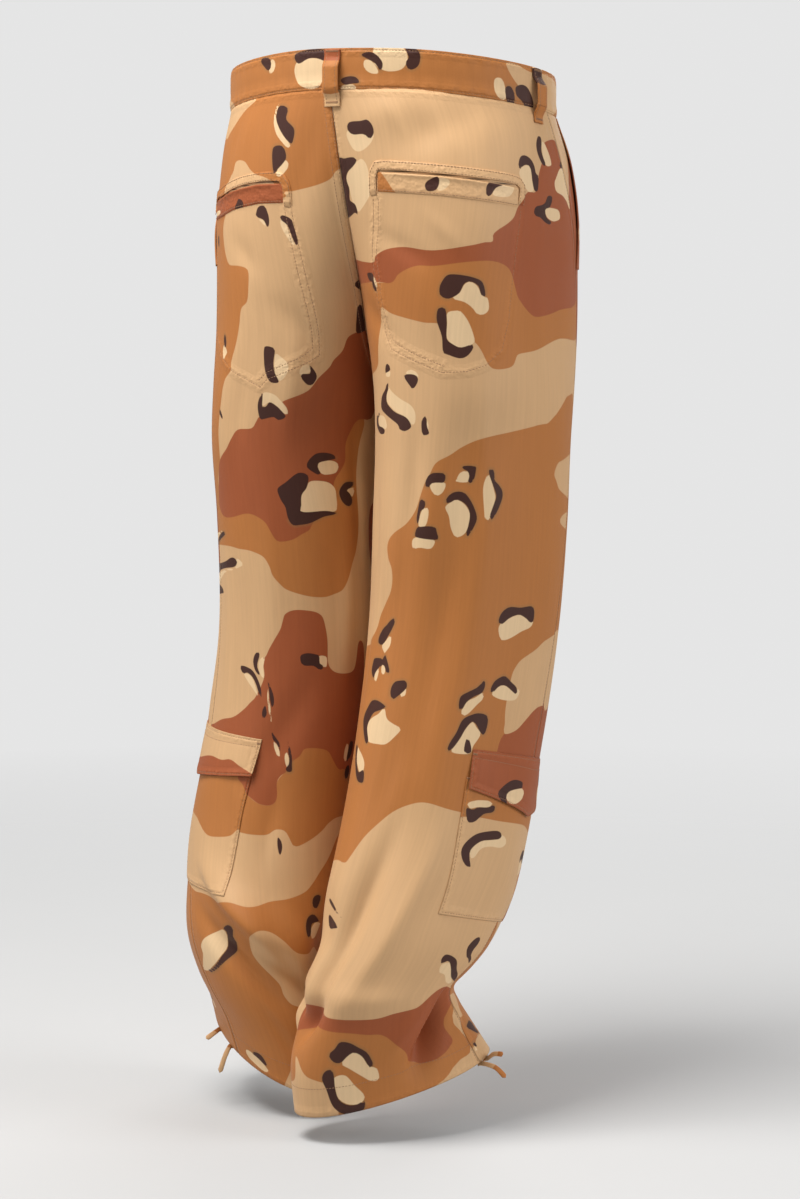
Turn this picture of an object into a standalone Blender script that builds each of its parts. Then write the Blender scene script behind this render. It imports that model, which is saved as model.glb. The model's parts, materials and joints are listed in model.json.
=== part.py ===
"""Wide-leg cargo trousers held in the shape they have when worn.

Every piece of cloth is a thin wall over one measured form: each leg is a tube of
rounded sections (LEFT_ROWS, RIGHT_ROWS), and above the crotch the two tubes meet at
the middle plane, which gives the centre seams and the crotch curve. A place on the
cloth is named by its side (+1 left, -1 right), its drop below the waist seam and its
angle round the leg (0 outside, 90 back, 180 inside, -90 front).
Metres, +Z up, front towards -Y, the wearer's left towards +X, waist centre at 0.
"""
import functools
import math

import bmesh
import bpy
import numpy as np

# ---- cloth ---------------------------------------------------------------------
LEFT = 1
RIGHT = -1
WALL = 0.0015
PATCH_WALL = 0.0014
SEAM_GAP = 0.0003
PATCH_GAP = 0.0006
HALF_GAP = SEAM_GAP / 2
HALF_SIDE_GAP = 0.0003

# ---- waist ---------------------------------------------------------------------
BAND_HEIGHT = 0.038
BAND_WALL = 0.0028
BAND_BOW = 0.0008
BAND_LAP = 0.042
LAP_RAMP = 0.45
BAND_COLUMNS = 76
BAND_ROWS = 4

# Belt loops. name: angle round the waist in degrees, room between loop and band.
LOOP_WIDTH = 0.016
LOOP_WALL = 0.0018
LOOP_BELOW_BAND = 0.019
LOOP_TOP_IN = 0.001
LOOP_FOOT = 0.006
LOOP_BEND = 0.22
LOOP_ROUND = 0.150
LOOP_STEPS = 14
LOOP_ROWS = {
    "belt_loop_back": (90, 0.0052),
    "belt_loop_left": (5, 0.0056),
    "belt_loop_right": (171, 0.0064),
    "belt_loop_front_left": (-67, 0.0072),
    "belt_loop_front_right": (-113, 0.0072),
}
BUTTON_RADIUS = 0.0085
BUTTON_THICKNESS = 0.0028
BUTTON_EDGE = 0.0007

# ---- length --------------------------------------------------------------------
WAIST_DROP = 0.0205
CROTCH_DROP = 0.300
HEM_DROP = 0.970

# A row for each section down a leg. drop: below the waist centre; out, back: the
# section's centre; wide: half width; front, rear: half depths; *_square: how full
# the corners are (2 is an ellipse); turn: degrees the section is turned outwards;
# tilt, roll: rise of the section towards its rear and its outside; sway: how far the
# seat's cloth is drawn to the wearer's left (plus) across the back.
SECTION_COLUMNS = (
    "drop", "out", "back", "wide", "front", "rear", "front_square", "rear_square",
    "turn", "tilt", "roll", "sway",
)
SEAT_ROWS = (
    (WAIST_DROP, 0.0000, 0.000, 0.1680, 0.121, 0.133, 2.0, 2.0, 0, 0.09, 0, 0.000),
    (0.050, 0.0250, -0.002, 0.1465, 0.123, 0.136, 2.2, 2.1, 0, 0.08, 0, -0.004),
    (0.090, 0.0480, -0.003, 0.1265, 0.125, 0.138, 2.5, 2.2, 0, 0.06, 0, -0.008),
    (0.135, 0.0650, -0.004, 0.1110, 0.126, 0.138, 2.7, 2.3, 0, 0.04, 0, -0.010),
    (0.190, 0.0770, -0.004, 0.0985, 0.126, 0.136, 2.7, 2.3, 0, 0.02, 0, -0.010),
    (0.240, 0.0835, -0.003, 0.0940, 0.125, 0.132, 2.5, 2.3, 0, 0.01, 0, -0.009),
    (CROTCH_DROP, 0.0905, 0.002, 0.0905, 0.122, 0.125, 2.2, 2.2, 0, 0.00, 0, -0.005),
)
RIGHT_ROWS = SEAT_ROWS + (
    (0.345, 0.0920, 0.004, 0.0885, 0.119, 0.121, 2.1, 2.1, 0, 0.02, 0, 0),
    (0.430, 0.0905, 0.008, 0.0880, 0.115, 0.116, 2.1, 2.1, 2, 0.06, 0, 0),
    (0.530, 0.0880, 0.017, 0.0855, 0.111, 0.110, 2.1, 2.1, 4, 0.12, 0, 0),
    (0.630, 0.0835, 0.035, 0.0825, 0.105, 0.106, 2.1, 2.1, 7, 0.18, 0, 0),
    (0.720, 0.0780, 0.056, 0.0815, 0.102, 0.103, 2.1, 2.1, 10, 0.21, 0, 0),
    (0.790, 0.0730, 0.080, 0.0790, 0.096, 0.101, 2.1, 2.1, 16, 0.18, 0, 0),
    (0.835, 0.0675, 0.104, 0.0750, 0.083, 0.094, 2.1, 2.1, 23, 0.10, 0, 0),
    (0.872, 0.0560, 0.123, 0.0705, 0.060, 0.088, 2.1, 2.1, 30, -0.01, 0, 0),
    (0.900, 0.0545, 0.125, 0.0660, 0.074, 0.091, 2.1, 2.1, 34, -0.09, 0, 0),
    (0.930, 0.0565, 0.121, 0.0610, 0.085, 0.101, 2.1, 2.1, 36, -0.17, 0, 0),
    (HEM_DROP, 0.0625, 0.113, 0.0580, 0.096, 0.107, 2.1, 2.1, 38, -0.25, -0.04, 0),
)
LEFT_ROWS = SEAT_ROWS + (
    (0.345, 0.0925, 0.003, 0.0890, 0.119, 0.121, 2.1, 2.1, 0, 0.01, 0, 0),
    (0.430, 0.0930, 0.002, 0.0875, 0.115, 0.115, 2.1, 2.1, 4, 0.02, 0, 0),
    (0.530, 0.0940, 0.003, 0.0865, 0.112, 0.110, 2.1, 2.1, 8, 0.04, 0, 0),
    (0.630, 0.1000, 0.012, 0.0870, 0.107, 0.106, 2.1, 2.1, 13, 0.07, 0, 0),
    (0.720, 0.1090, 0.026, 0.0880, 0.103, 0.103, 2.1, 2.1, 18, 0.09, 0, 0),
    (0.790, 0.1140, 0.042, 0.0870, 0.101, 0.103, 2.1, 2.1, 25, 0.06, 0, 0),
    (0.850, 0.1145, 0.054, 0.0820, 0.100, 0.104, 2.1, 2.1, 33, -0.03, 0.00, 0),
    (0.895, 0.1110, 0.053, 0.0740, 0.102, 0.105, 2.1, 2.1, 40, -0.13, 0.06, 0),
    (0.930, 0.1070, 0.049, 0.0660, 0.105, 0.106, 2.1, 2.1, 45, -0.20, 0.14, 0),
    (HEM_DROP, 0.1040, 0.046, 0.0600, 0.108, 0.107, 2.1, 2.1, 48, -0.26, 0.22, 0),
)
SWAY_DEPTH = 0.12

# The waist hangs this much lower at the sides and front than at the back. It starts
# a few degrees from the middle of the back and fades down the hips.
WAIST_DIP = 0.0095
DIP_CENTRE = 102.0
DIP_CALM = 14.0
DIP_SPAN = 85.0
DIP_FADE = 0.060

# Where the side seam and the inside leg seam run, in degrees round each leg.
SEAM_COLUMNS = ("drop", "left_side", "right_side", "left_inner", "right_inner")
SEAM_ROWS = (
    (WAIST_DROP, 0, 0, 180, 180),
    (0.060, 8, -6, 180, 180),
    (0.115, 24, -17, 180, 180),
    (0.180, 37, -26, 180, 180),
    (CROTCH_DROP, 42, -29, 180, 180),
    (0.450, 40, -25, 188, 179),
    (0.600, 35, -20, 194, 178),
    (0.700, 29, -21, 195, 176),
    (0.800, 22, -31, 195, 172),
    (HEM_DROP, 18, -46, 194, 170),
)

# The largest folds. angle, drop: middle of the fold; lean: degrees from upright,
# clockwise seen from outside; reach: half length; spread: half width; height:
# out (+) or in (-).
FOLD_COLUMNS = ("side", "angle", "drop", "lean", "reach", "spread", "height")
FOLD_ROUND = 0.105
FOLD_ROWS = (
    (LEFT, 20, 0.165, 0, 0.150, 0.045, 0.0048),
    (LEFT, 8, 0.625, 0, 0.090, 0.040, 0.0040),
    (RIGHT, -36, 0.750, 0, 0.150, 0.045, -0.0036),
    (RIGHT, 75, 0.400, 4, 0.150, 0.022, 0.0040),
    (RIGHT, 108, 0.560, -8, 0.120, 0.016, -0.0030),
    (RIGHT, 118, 0.885, 76, 0.075, 0.013, -0.0065),
    (RIGHT, 100, 0.845, 84, 0.070, 0.020, 0.0045),
    (RIGHT, -60, 0.862, 82, 0.085, 0.018, 0.0060),
    (RIGHT, -70, 0.560, 58, 0.080, 0.016, -0.0035),
    (RIGHT, -100, 0.350, 62, 0.085, 0.014, -0.0035),
    (LEFT, 128, 0.850, 52, 0.095, 0.015, -0.0075),
    (LEFT, 138, 0.895, 40, 0.060, 0.020, 0.0060),
    (LEFT, 165, 0.440, 3, 0.130, 0.012, -0.0045),
    (LEFT, 100, 0.640, 30, 0.090, 0.018, -0.0030),
    (LEFT, -60, 0.840, -70, 0.090, 0.018, 0.0060),
    (LEFT, -80, 0.575, -58, 0.080, 0.016, -0.0035),
    (LEFT, -98, 0.360, -60, 0.085, 0.014, -0.0035),
)
SEAM_CALM = 0.018

# ---- grids of the four panels ------------------------------------------------------
# Rows are closest at the crotch curve and in the folds above the hem. A patch's own
# rows and columns keep clear of the panel's by at least the two shares below.
PANEL_COLUMNS = 16
PANEL_ROW_DROPS = (
    WAIST_DROP + SEAM_GAP, 0.036, 0.052, 0.072, 0.095, 0.120, 0.145, 0.170, 0.195, 0.218,
    0.239, 0.257, 0.271, 0.282, 0.290, 0.2955, 0.2985, 0.3005, 0.310, 0.328, 0.352, 0.380,
    0.412, 0.446, 0.482, 0.520, 0.556, 0.590, 0.622, 0.653, 0.680, 0.706, 0.732, 0.757,
    0.781, 0.804, 0.826, 0.845, 0.861, 0.875, 0.889, 0.904, 0.920, 0.937, 0.954, HEM_DROP,
)
COLUMN_CLEAR = 0.15
ROW_CLEAR = 0.004

# ---- back welt pockets ---------------------------------------------------------------
WELT_HEIGHT = 0.019
WELT_LINES = 3
WELT_COLUMNS = ("side", "inner_angle", "outer_angle", "inner_drop", "outer_drop")
WELT_ROWS = (
    (LEFT, 90, 35, 0.115, 0.122),
    (RIGHT, 95, 27, 0.106, 0.113),
)

# ---- front pockets: the folded edge of each slanted mouth ------------------------------
MOUTH_TOP_IN = 0.044
MOUTH_LENGTH = 0.160
MOUTH_EDGE_WIDTH = 0.026
MOUTH_STAND = 0.0022
MOUTH_START = 0.008
MOUTH_ROWS = 14
MOUTH_COLUMNS = 5

# ---- cargo pockets ------------------------------------------------------------------
POCKET_HALF_WIDTH = 0.085
POCKET_TOP = 0.680
POCKET_HEIGHT = 0.124
POCKET_BULGE = 0.0024
FLAP_HALF_WIDTH = 0.088
FLAP_TOP = 0.653
FLAP_SIDE_HEIGHT = 0.038
FLAP_POINT_HEIGHT = 0.056
FLAP_STAND = 0.0072
FLAP_SIDE_CALM = 0.6

# ---- fly: its columns, in panel columns from the centre front --------------------------
FLY_LENGTH = 0.170
FLY_CURVE = 0.045
FLY_START = 0.004
FLY_ROWS = 12
FLY_COLUMNS = (0.10, 0.55, 1.00, 1.50, 2.00, 2.30, 2.55)

# ---- hem ties: start, two route points and end of each, hand placed --------------------
TIE_DIAMETER = 0.0045
TIE_STEPS = 20
TIE_ROWS = {
    "hem_tie_left_a": (
        (0.1581, 0.0684, -0.9525), (0.1624, 0.0717, -0.9533),
        (0.1606, 0.0855, -0.9541), (0.1651, 0.0940, -0.9591),
    ),
    "hem_tie_left_b": (
        (0.1322, 0.0943, -0.9630), (0.1352, 0.0975, -0.9630),
        (0.1363, 0.1057, -0.9714), (0.1415, 0.1080, -0.9889),
    ),
    "hem_tie_right_a": (
        (-0.1315, 0.0647, -0.9546), (-0.1377, 0.0650, -0.9535),
        (-0.1500, 0.0761, -0.9459), (-0.1612, 0.0792, -0.9445),
    ),
    "hem_tie_right_b": (
        (-0.1323, 0.0771, -0.9572), (-0.1384, 0.0784, -0.9560),
        (-0.1555, 0.0845, -0.9572), (-0.1668, 0.0850, -0.9660),
    ),
}

# ---- colours -------------------------------------------------------------------------
SAND = (0.600, 0.385, 0.205)
BROWN = (0.440, 0.190, 0.060)
RUST = (0.290, 0.090, 0.045)
HORN = (0.120, 0.070, 0.040)
TWILL_ROUGHNESS = 0.62
HORN_ROUGHNESS = 0.35


# ---- numbers from the tables ----------------------------------------------------------
def rows_at(rows, columns, where):
    """Smooth values of a table's columns: cubic steps through its rows, with shared slopes."""
    table = np.array(rows, float)
    keys, values = table[:, 0], table[:, 1:]
    gaps = np.diff(keys)[:, None]
    steps = np.diff(values, axis=0) / gaps
    slopes = np.empty_like(values)
    slopes[0], slopes[-1] = steps[0], steps[-1]
    slopes[1:-1] = (steps[:-1] * gaps[1:] + steps[1:] * gaps[:-1]) / (gaps[1:] + gaps[:-1])
    where = np.asarray(where, float)
    flat = where.ravel()
    low = np.clip(np.searchsorted(keys, flat, side="right") - 1, 0, len(keys) - 2)
    gap = gaps[low]
    t = (flat[:, None] - keys[low][:, None]) / gap
    result = (
        values[low] * (2 * t**3 - 3 * t**2 + 1)
        + slopes[low] * gap * (t**3 - 2 * t**2 + t)
        + values[low + 1] * (3 * t**2 - 2 * t**3)
        + slopes[low + 1] * gap * (t**3 - t**2)
    )
    return {name: result[:, i].reshape(where.shape) for i, name in enumerate(columns[1:])}


def smooth_step(value):
    """0 below 0, 1 above 1, and a soft S between."""
    value = np.clip(value, 0, 1)
    return value * value * (3 - 2 * value)


def side_name(side):
    return "left" if side == LEFT else "right"


def sections(side, drop):
    """The section table's columns at a drop."""
    return rows_at(LEFT_ROWS if side == LEFT else RIGHT_ROWS, SECTION_COLUMNS, drop)


def side_seam(side, drop):
    """Angle of the side seam, radians."""
    return np.radians(rows_at(SEAM_ROWS, SEAM_COLUMNS, drop)[f"{side_name(side)}_side"])


def inner_edge(side, drop, rear):
    """Angle where a panel ends: on the middle plane above the crotch, at the inside seam below.

    A rounded section |x/wide|^n + |y/depth|^n = 1 whose centre is `out` from the middle
    plane crosses it at x = -out, so y/depth = (1 - (out/wide)^n)^(1/n).
    """
    row = sections(side, drop)
    power = row["rear_square"] if rear else row["front_square"]
    reach = np.clip((row["out"] - HALF_GAP) / row["wide"], 0, 1)
    crossing = np.arctan2((1 - reach**power) ** (1 / power), -reach)
    inner = rows_at(SEAM_ROWS, SEAM_COLUMNS, drop)[f"{side_name(side)}_inner"]
    seam = np.radians(inner) - (0 if rear else 2 * math.pi)
    half_gap = HALF_GAP / row["wide"]
    if rear:
        return np.where(drop < CROTCH_DROP, np.minimum(crossing, math.pi - half_gap), seam - half_gap)
    return np.where(drop < CROTCH_DROP, np.maximum(-crossing, half_gap - math.pi), seam + half_gap)


# ---- the form ---------------------------------------------------------------------
def waist_dip(x, y, drop):
    """How far a place is drawn down because the waist hangs lower towards the front."""
    turned = np.abs((np.degrees(np.arctan2(y, x)) - DIP_CENTRE + 180) % 360 - 180)
    fade = 1 - smooth_step((drop - WAIST_DROP) / DIP_FADE)
    return WAIST_DIP * smooth_step((turned - DIP_CALM) / DIP_SPAN) * fade


def bare_point(side, drop, angle):
    """Point of a leg's smooth tube, without folds."""
    row = sections(side, drop)
    cosine, sine = np.cos(angle), np.sin(angle)
    power = np.where(sine > 0, row["rear_square"], row["front_square"])
    radius = (np.abs(cosine) ** power + np.abs(sine) ** power) ** (-1 / power)
    across = row["wide"] * radius * cosine
    depth = np.where(sine > 0, row["rear"], row["front"]) * radius * sine
    turn = np.radians(row["turn"])
    y = row["back"] + across * np.sin(turn) + depth * np.cos(turn)
    x = side * (row["out"] + across * np.cos(turn) - depth * np.sin(turn))
    x = x + row["sway"] * smooth_step(y / SWAY_DEPTH)
    z = row["tilt"] * depth + row["roll"] * across - drop - waist_dip(x, y, drop)
    return np.stack([x, y, z], axis=-1)


def outward(side, drop, angle):
    """Unit normal of the bare tube, from its slopes along both parameters."""
    step = 1e-4
    along = bare_point(side, drop + step, angle) - bare_point(side, drop - step, angle)
    around = bare_point(side, drop, angle + step) - bare_point(side, drop, angle - step)
    normal = np.cross(around, along) * -side
    return normal / np.linalg.norm(normal, axis=-1, keepdims=True)


def fold_height(side, drop, angle):
    """Sum of the folds at a place: each is a bell across and a rounded bar along."""
    total = np.zeros(np.broadcast(drop, angle).shape)
    for row in FOLD_ROWS:
        fold = dict(zip(FOLD_COLUMNS, row))
        if fold["side"] != side:
            continue
        turned = (np.asarray(angle) - math.radians(fold["angle"]) + math.pi) % (2 * math.pi) - math.pi
        sideways = turned * FOLD_ROUND
        down = drop - fold["drop"]
        lean = math.radians(fold["lean"])
        along = down * math.cos(lean) - sideways * math.sin(lean)
        across = down * math.sin(lean) + sideways * math.cos(lean)
        taper = smooth_step(1 - np.abs(along) / fold["reach"])
        total = total + fold["height"] * taper * np.exp(-((across / fold["spread"]) ** 2))
    return total


def cloth_point(side, drop, angle, out=0.0):
    """Point of the folded cloth, moved out along its normal. Folds fade at the middle plane."""
    drop = np.asarray(drop, float)
    angle = np.asarray(angle, float)
    base = bare_point(side, drop, angle)
    from_middle = smooth_step(np.abs(base[..., 0]) / SEAM_CALM)
    calm = np.where(drop < CROTCH_DROP + SEAM_CALM, from_middle, 1.0)
    height = fold_height(side, drop, angle) * calm + out
    return base + outward(side, drop, angle) * np.asarray(height)[..., None]


def waist_point(angle, height, out=0.0):
    """Point on the waistband's face; angle runs right round the body from the left side seam."""
    row = sections(LEFT, WAIST_DROP)
    cosine, sine = np.cos(angle), np.sin(angle)
    depth = np.where(sine > 0, row["rear"], row["front"])
    normal = np.stack([cosine / row["wide"], sine / depth], axis=-1)
    normal = normal / np.linalg.norm(normal, axis=-1, keepdims=True)
    x = row["wide"] * cosine + normal[..., 0] * out
    y = depth * sine + normal[..., 1] * out
    z = row["tilt"] * depth * sine + height - WAIST_DROP - waist_dip(x, y, WAIST_DROP)
    return np.stack([x, y, z], axis=-1)


# ---- Blender objects --------------------------------------------------------------
def clear_scene():
    for item in list(bpy.data.objects):
        bpy.data.objects.remove(item, do_unlink=True)


def make_material(name, colour, roughness, metallic=0.0):
    material = bpy.data.materials.new(name)
    material.use_nodes = True
    shader = material.node_tree.nodes["Principled BSDF"]
    shader.inputs["Base Color"].default_value = (*colour, 1.0)
    shader.inputs["Roughness"].default_value = roughness
    shader.inputs["Metallic"].default_value = metallic
    return material


def sheet_object(name, points, wall, material, parts, closed=False):
    """A cloth wall: a lofted open grid of points (rows, columns, xyz) with Solidify inwards.

    The grid's faces look outwards, so the wall grows to the inside of the given points.
    """
    rows, columns = points.shape[:2]
    mesh = bpy.data.meshes.new(name)
    build = bmesh.new()
    grid = [[build.verts.new(points[i, j]) for j in range(columns)] for i in range(rows)]
    last = columns if closed else columns - 1
    for i in range(rows - 1):
        for j in range(last):
            k = (j + 1) % columns
            build.faces.new((grid[i][j], grid[i + 1][j], grid[i + 1][k], grid[i][k]))
    build.to_mesh(mesh)
    build.free()
    mesh.shade_smooth()
    mesh.materials.append(material)
    cloth = bpy.data.objects.new(name, mesh)
    parts.objects.link(cloth)
    solidify = cloth.modifiers.new("wall", "SOLIDIFY")
    solidify.thickness = wall
    solidify.offset = -1.0
    solidify.use_even_offset = False
    return cloth


def facing_out(points, side_sign):
    """Reverse the columns where that is needed for the faces to look outwards."""
    return points if side_sign > 0 else points[:, ::-1]


# ---- trouser panels ---------------------------------------------------------------
def panel_grid(side, rear):
    """Places of a panel's grid: rows down the leg, columns from side seam to inner edge."""
    drop = np.array(PANEL_ROW_DROPS)[:, None]
    share = np.linspace(0, 1, PANEL_COLUMNS)[None, :]
    start = side_seam(side, drop)
    half_gap = HALF_SIDE_GAP / sections(side, drop)["wide"]
    start = start + half_gap if rear else start - half_gap
    end = inner_edge(side, drop, rear)
    return np.broadcast_to(drop, (drop.size, share.size)), start + (end - start) * share


@functools.cache
def panel_surface(side, rear):
    """A panel's grid points and its outward normals."""
    drop, angle = panel_grid(side, rear)
    points = cloth_point(side, drop, angle)
    down = np.gradient(points, axis=0)
    along = np.gradient(points, axis=1) * (1 if rear else -1)
    normals = np.cross(along, down) * -side
    return points, normals / np.linalg.norm(normals, axis=-1, keepdims=True)


def make_panel(side, rear, material, parts):
    """A front or back panel: half a leg with its quarter of the seat."""
    name = f"{'back' if rear else 'front'}_{side_name(side)}"
    points, _ = panel_surface(side, rear)
    return sheet_object(name, facing_out(points, side if rear else -side), WALL, material, parts)


# ---- pieces that lie on the panels ---------------------------------------------------
def column_step(side, drop, rear):
    """Distance between two columns of a panel, measured round the leg."""
    row = sections(side, np.array(drop))
    depth = row["rear"] if rear else row["front"]
    span = inner_edge(side, np.array(drop), rear) - side_seam(side, np.array(drop))
    return abs(float(span)) * 0.5 * float(row["wide"] + depth) / (PANEL_COLUMNS - 1)


def with_whole_columns(first, last):
    """Two column places and every panel column between them."""
    inside = np.arange(math.ceil(first + COLUMN_CLEAR), math.floor(last - COLUMN_CLEAR) + 1)
    return np.concatenate([[first], inside, [last]])


def column_stops(side, drop, front_reach, back_reach):
    """Column places of a patch over the side seam: its two ends and every panel column between.

    Places are counted in panel columns from the seam, plus on the back and minus on the front.
    """
    first = -front_reach / column_step(side, drop, False)
    last = back_reach / column_step(side, drop, True)
    return with_whole_columns(first, last)


def row_stops(top, bottom):
    """Drops of a patch's rows: its two ends and every panel row between."""
    rows = np.array(PANEL_ROW_DROPS)
    inside = rows[(rows > top + ROW_CLEAR) & (rows < bottom - ROW_CLEAR)]
    return np.concatenate([[top], inside, [bottom]])


def between(side, rear, row_place, column_place):
    """Point and normal at fractional row and column places of a panel, on its flat faces."""
    points, normals = panel_surface(side, rear)
    row = np.clip(row_place.astype(int), 0, points.shape[0] - 2)
    column = np.clip(column_place.astype(int), 0, points.shape[1] - 2)
    down = (row_place - row)[..., None]
    along = (column_place - column)[..., None]
    found = []
    for values in (points, normals):
        upper = values[row, column] * (1 - along) + values[row, column + 1] * along
        lower = values[row + 1, column] * (1 - along) + values[row + 1, column + 1] * along
        found.append(upper * (1 - down) + lower * down)
    return found


def on_panels(side, drop, column_place, out):
    """Points moved out from the panels: column places are plus on the back, minus on the front."""
    drop, column_place, out = np.broadcast_arrays(drop, column_place, out)
    row_place = np.interp(drop, PANEL_ROW_DROPS, np.arange(len(PANEL_ROW_DROPS)))
    back_point, back_normal = between(side, True, row_place, np.maximum(column_place, 0))
    front_point, front_normal = between(side, False, row_place, np.maximum(-column_place, 0))
    on_back = (column_place > 0)[..., None] + 0.5 * (column_place == 0)[..., None]
    point = back_point * on_back + front_point * (1 - on_back)
    normal = back_normal * on_back + front_normal * (1 - on_back)
    normal = normal / np.linalg.norm(normal, axis=-1, keepdims=True)
    return point + normal * out[..., None]


def column_of_angle(side, drop, angle, rear):
    """Column place of an angle on a panel."""
    start = side_seam(side, drop)
    span = inner_edge(side, drop, rear) - start
    place = (angle - start) / span * (PANEL_COLUMNS - 1)
    return place if rear else -place


def make_welt(side, material, parts):
    """The welt of a back pocket, between its inner and outer ends."""
    row = next(dict(zip(WELT_COLUMNS, r)) for r in WELT_ROWS if r[0] == side)
    middle_drop = np.array(0.5 * (row["outer_drop"] + row["inner_drop"]))
    first = float(column_of_angle(side, middle_drop, math.radians(row["outer_angle"]), True))
    last = float(column_of_angle(side, middle_drop, math.radians(row["inner_angle"]), True))
    place = with_whole_columns(first, last)[None, :]
    share = (place - first) / (last - first)
    down = np.linspace(-0.5, 0.5, WELT_LINES)[:, None]
    drop = row["outer_drop"] + (row["inner_drop"] - row["outer_drop"]) * share + down * WELT_HEIGHT
    points = facing_out(on_panels(side, drop, place, PATCH_GAP + PATCH_WALL), side)
    return sheet_object(f"back_welt_{side_name(side)}", points, PATCH_WALL, material, parts)


def make_cargo_pocket(side, material, parts):
    """A patch centred on the side seam; its lower middle hangs a little away from the leg."""
    middle_drop = POCKET_TOP + POCKET_HEIGHT / 2
    place = column_stops(side, middle_drop, POCKET_HALF_WIDTH, POCKET_HALF_WIDTH)[None, :]
    share = np.where(place > 0, place / place.max(), -place / place.min())
    drop = row_stops(POCKET_TOP, POCKET_TOP + POCKET_HEIGHT)[:, None]
    down = (drop - POCKET_TOP) / POCKET_HEIGHT
    bulge = POCKET_BULGE * (1 - share**2) * np.sin(math.pi * down)
    points = facing_out(on_panels(side, drop, place, PATCH_GAP + PATCH_WALL + bulge), side)
    return sheet_object(f"cargo_pocket_{side_name(side)}", points, PATCH_WALL, material, parts)


def make_cargo_flap(side, material, parts):
    """A flap with a pointed lower edge, sewn along its top and lying over the pocket."""
    middle_drop = FLAP_TOP + FLAP_SIDE_HEIGHT / 2
    place = column_stops(side, middle_drop, FLAP_HALF_WIDTH, FLAP_HALF_WIDTH)[None, :]
    share = np.abs(np.where(place > 0, place / place.max(), place / place.min()))
    drop = row_stops(FLAP_TOP, FLAP_TOP + FLAP_SIDE_HEIGHT)[:, None]
    down = (drop - FLAP_TOP) / FLAP_SIDE_HEIGHT
    drop = drop + (FLAP_POINT_HEIGHT - FLAP_SIDE_HEIGHT) * (1 - share) * down**2
    on_leg = PATCH_GAP + PATCH_WALL
    over_pocket = 2 * on_leg
    rise = smooth_step((drop - FLAP_TOP) / (POCKET_TOP - FLAP_TOP - PATCH_WALL))
    lift = FLAP_STAND * down**2 * (1 - FLAP_SIDE_CALM * share)
    out = on_leg + (over_pocket - on_leg) * rise + lift
    points = facing_out(on_panels(side, drop, place, out), side)
    return sheet_object(f"cargo_flap_{side_name(side)}", points, PATCH_WALL, material, parts)


def make_pocket_mouth(side, material, parts):
    """The folded front edge of a slanted pocket, from the waist seam to the side seam."""
    down = np.linspace(MOUTH_START, 1, MOUTH_ROWS)[:, None]
    share = np.linspace(0, 1, MOUTH_COLUMNS)[None, :]
    drop = WAIST_DROP + MOUTH_LENGTH * down
    row = sections(side, drop)
    round_leg = 0.5 * (row["wide"] + row["front"])
    distance = PATCH_WALL + MOUTH_TOP_IN * (1 - down) + MOUTH_EDGE_WIDTH * share
    place = column_of_angle(side, drop, side_seam(side, drop) - distance / round_leg, False)
    stand = MOUTH_STAND * (1 - share) * np.sin(math.pi * down)
    points = facing_out(on_panels(side, drop, place, PATCH_GAP + PATCH_WALL + stand), -side)
    return sheet_object(f"front_pocket_edge_{side_name(side)}", points, PATCH_WALL, material, parts)


def make_fly(material, parts):
    """The fly's turned edge on the left front, with a curved lower end."""
    columns = -(PANEL_COLUMNS - 1 - np.array(FLY_COLUMNS))[None, :]
    share = (columns - columns[0, 0]) / (columns[0, -1] - columns[0, 0])
    length = FLY_LENGTH - FLY_CURVE * (1 - np.sqrt(1 - share**2))
    down = np.linspace(FLY_START, 1, FLY_ROWS)[:, None]
    points = on_panels(LEFT, WAIST_DROP + length * down, columns, 2 * PATCH_GAP + PATCH_WALL)
    return sheet_object("fly", facing_out(points, LEFT), PATCH_WALL, material, parts)


# ---- waist -------------------------------------------------------------------------
def make_waistband(material, parts):
    """An open ring that laps over itself at the centre front, left end outside."""
    lap_angle = BAND_LAP / float(sections(LEFT, WAIST_DROP)["wide"])
    start = -math.pi / 2 - lap_angle * 0.5
    angle = np.linspace(start, start + 2 * math.pi + lap_angle, BAND_COLUMNS)[None, :]
    into_lap = smooth_step((start + lap_angle * (1.1 + LAP_RAMP) - angle) / (lap_angle * LAP_RAMP))
    out = (BAND_WALL + 2 * SEAM_GAP) * into_lap
    height = np.linspace(SEAM_GAP, BAND_HEIGHT, BAND_ROWS)[:, None]
    bow = BAND_BOW * np.sin(math.pi * (height / BAND_HEIGHT))
    points = waist_point(np.broadcast_to(angle, (BAND_ROWS, BAND_COLUMNS)), height, out + bow)
    return sheet_object("waistband", points[::-1], BAND_WALL, material, parts)


def under_band(x, y, drop, out):
    """Point of the cloth below a place on the band: the seat's point in the same direction."""
    side = LEFT if x >= 0 else RIGHT
    around = np.linspace(-math.pi, math.pi, 2881)
    points = bare_point(side, np.full(around.shape, drop), around)
    heading = np.arctan2(points[:, 1], points[:, 0]) - math.atan2(y, x)
    nearest = np.argmin(np.abs((heading + math.pi) % (2 * math.pi) - math.pi))
    return cloth_point(side, drop, around[nearest], out)


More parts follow.
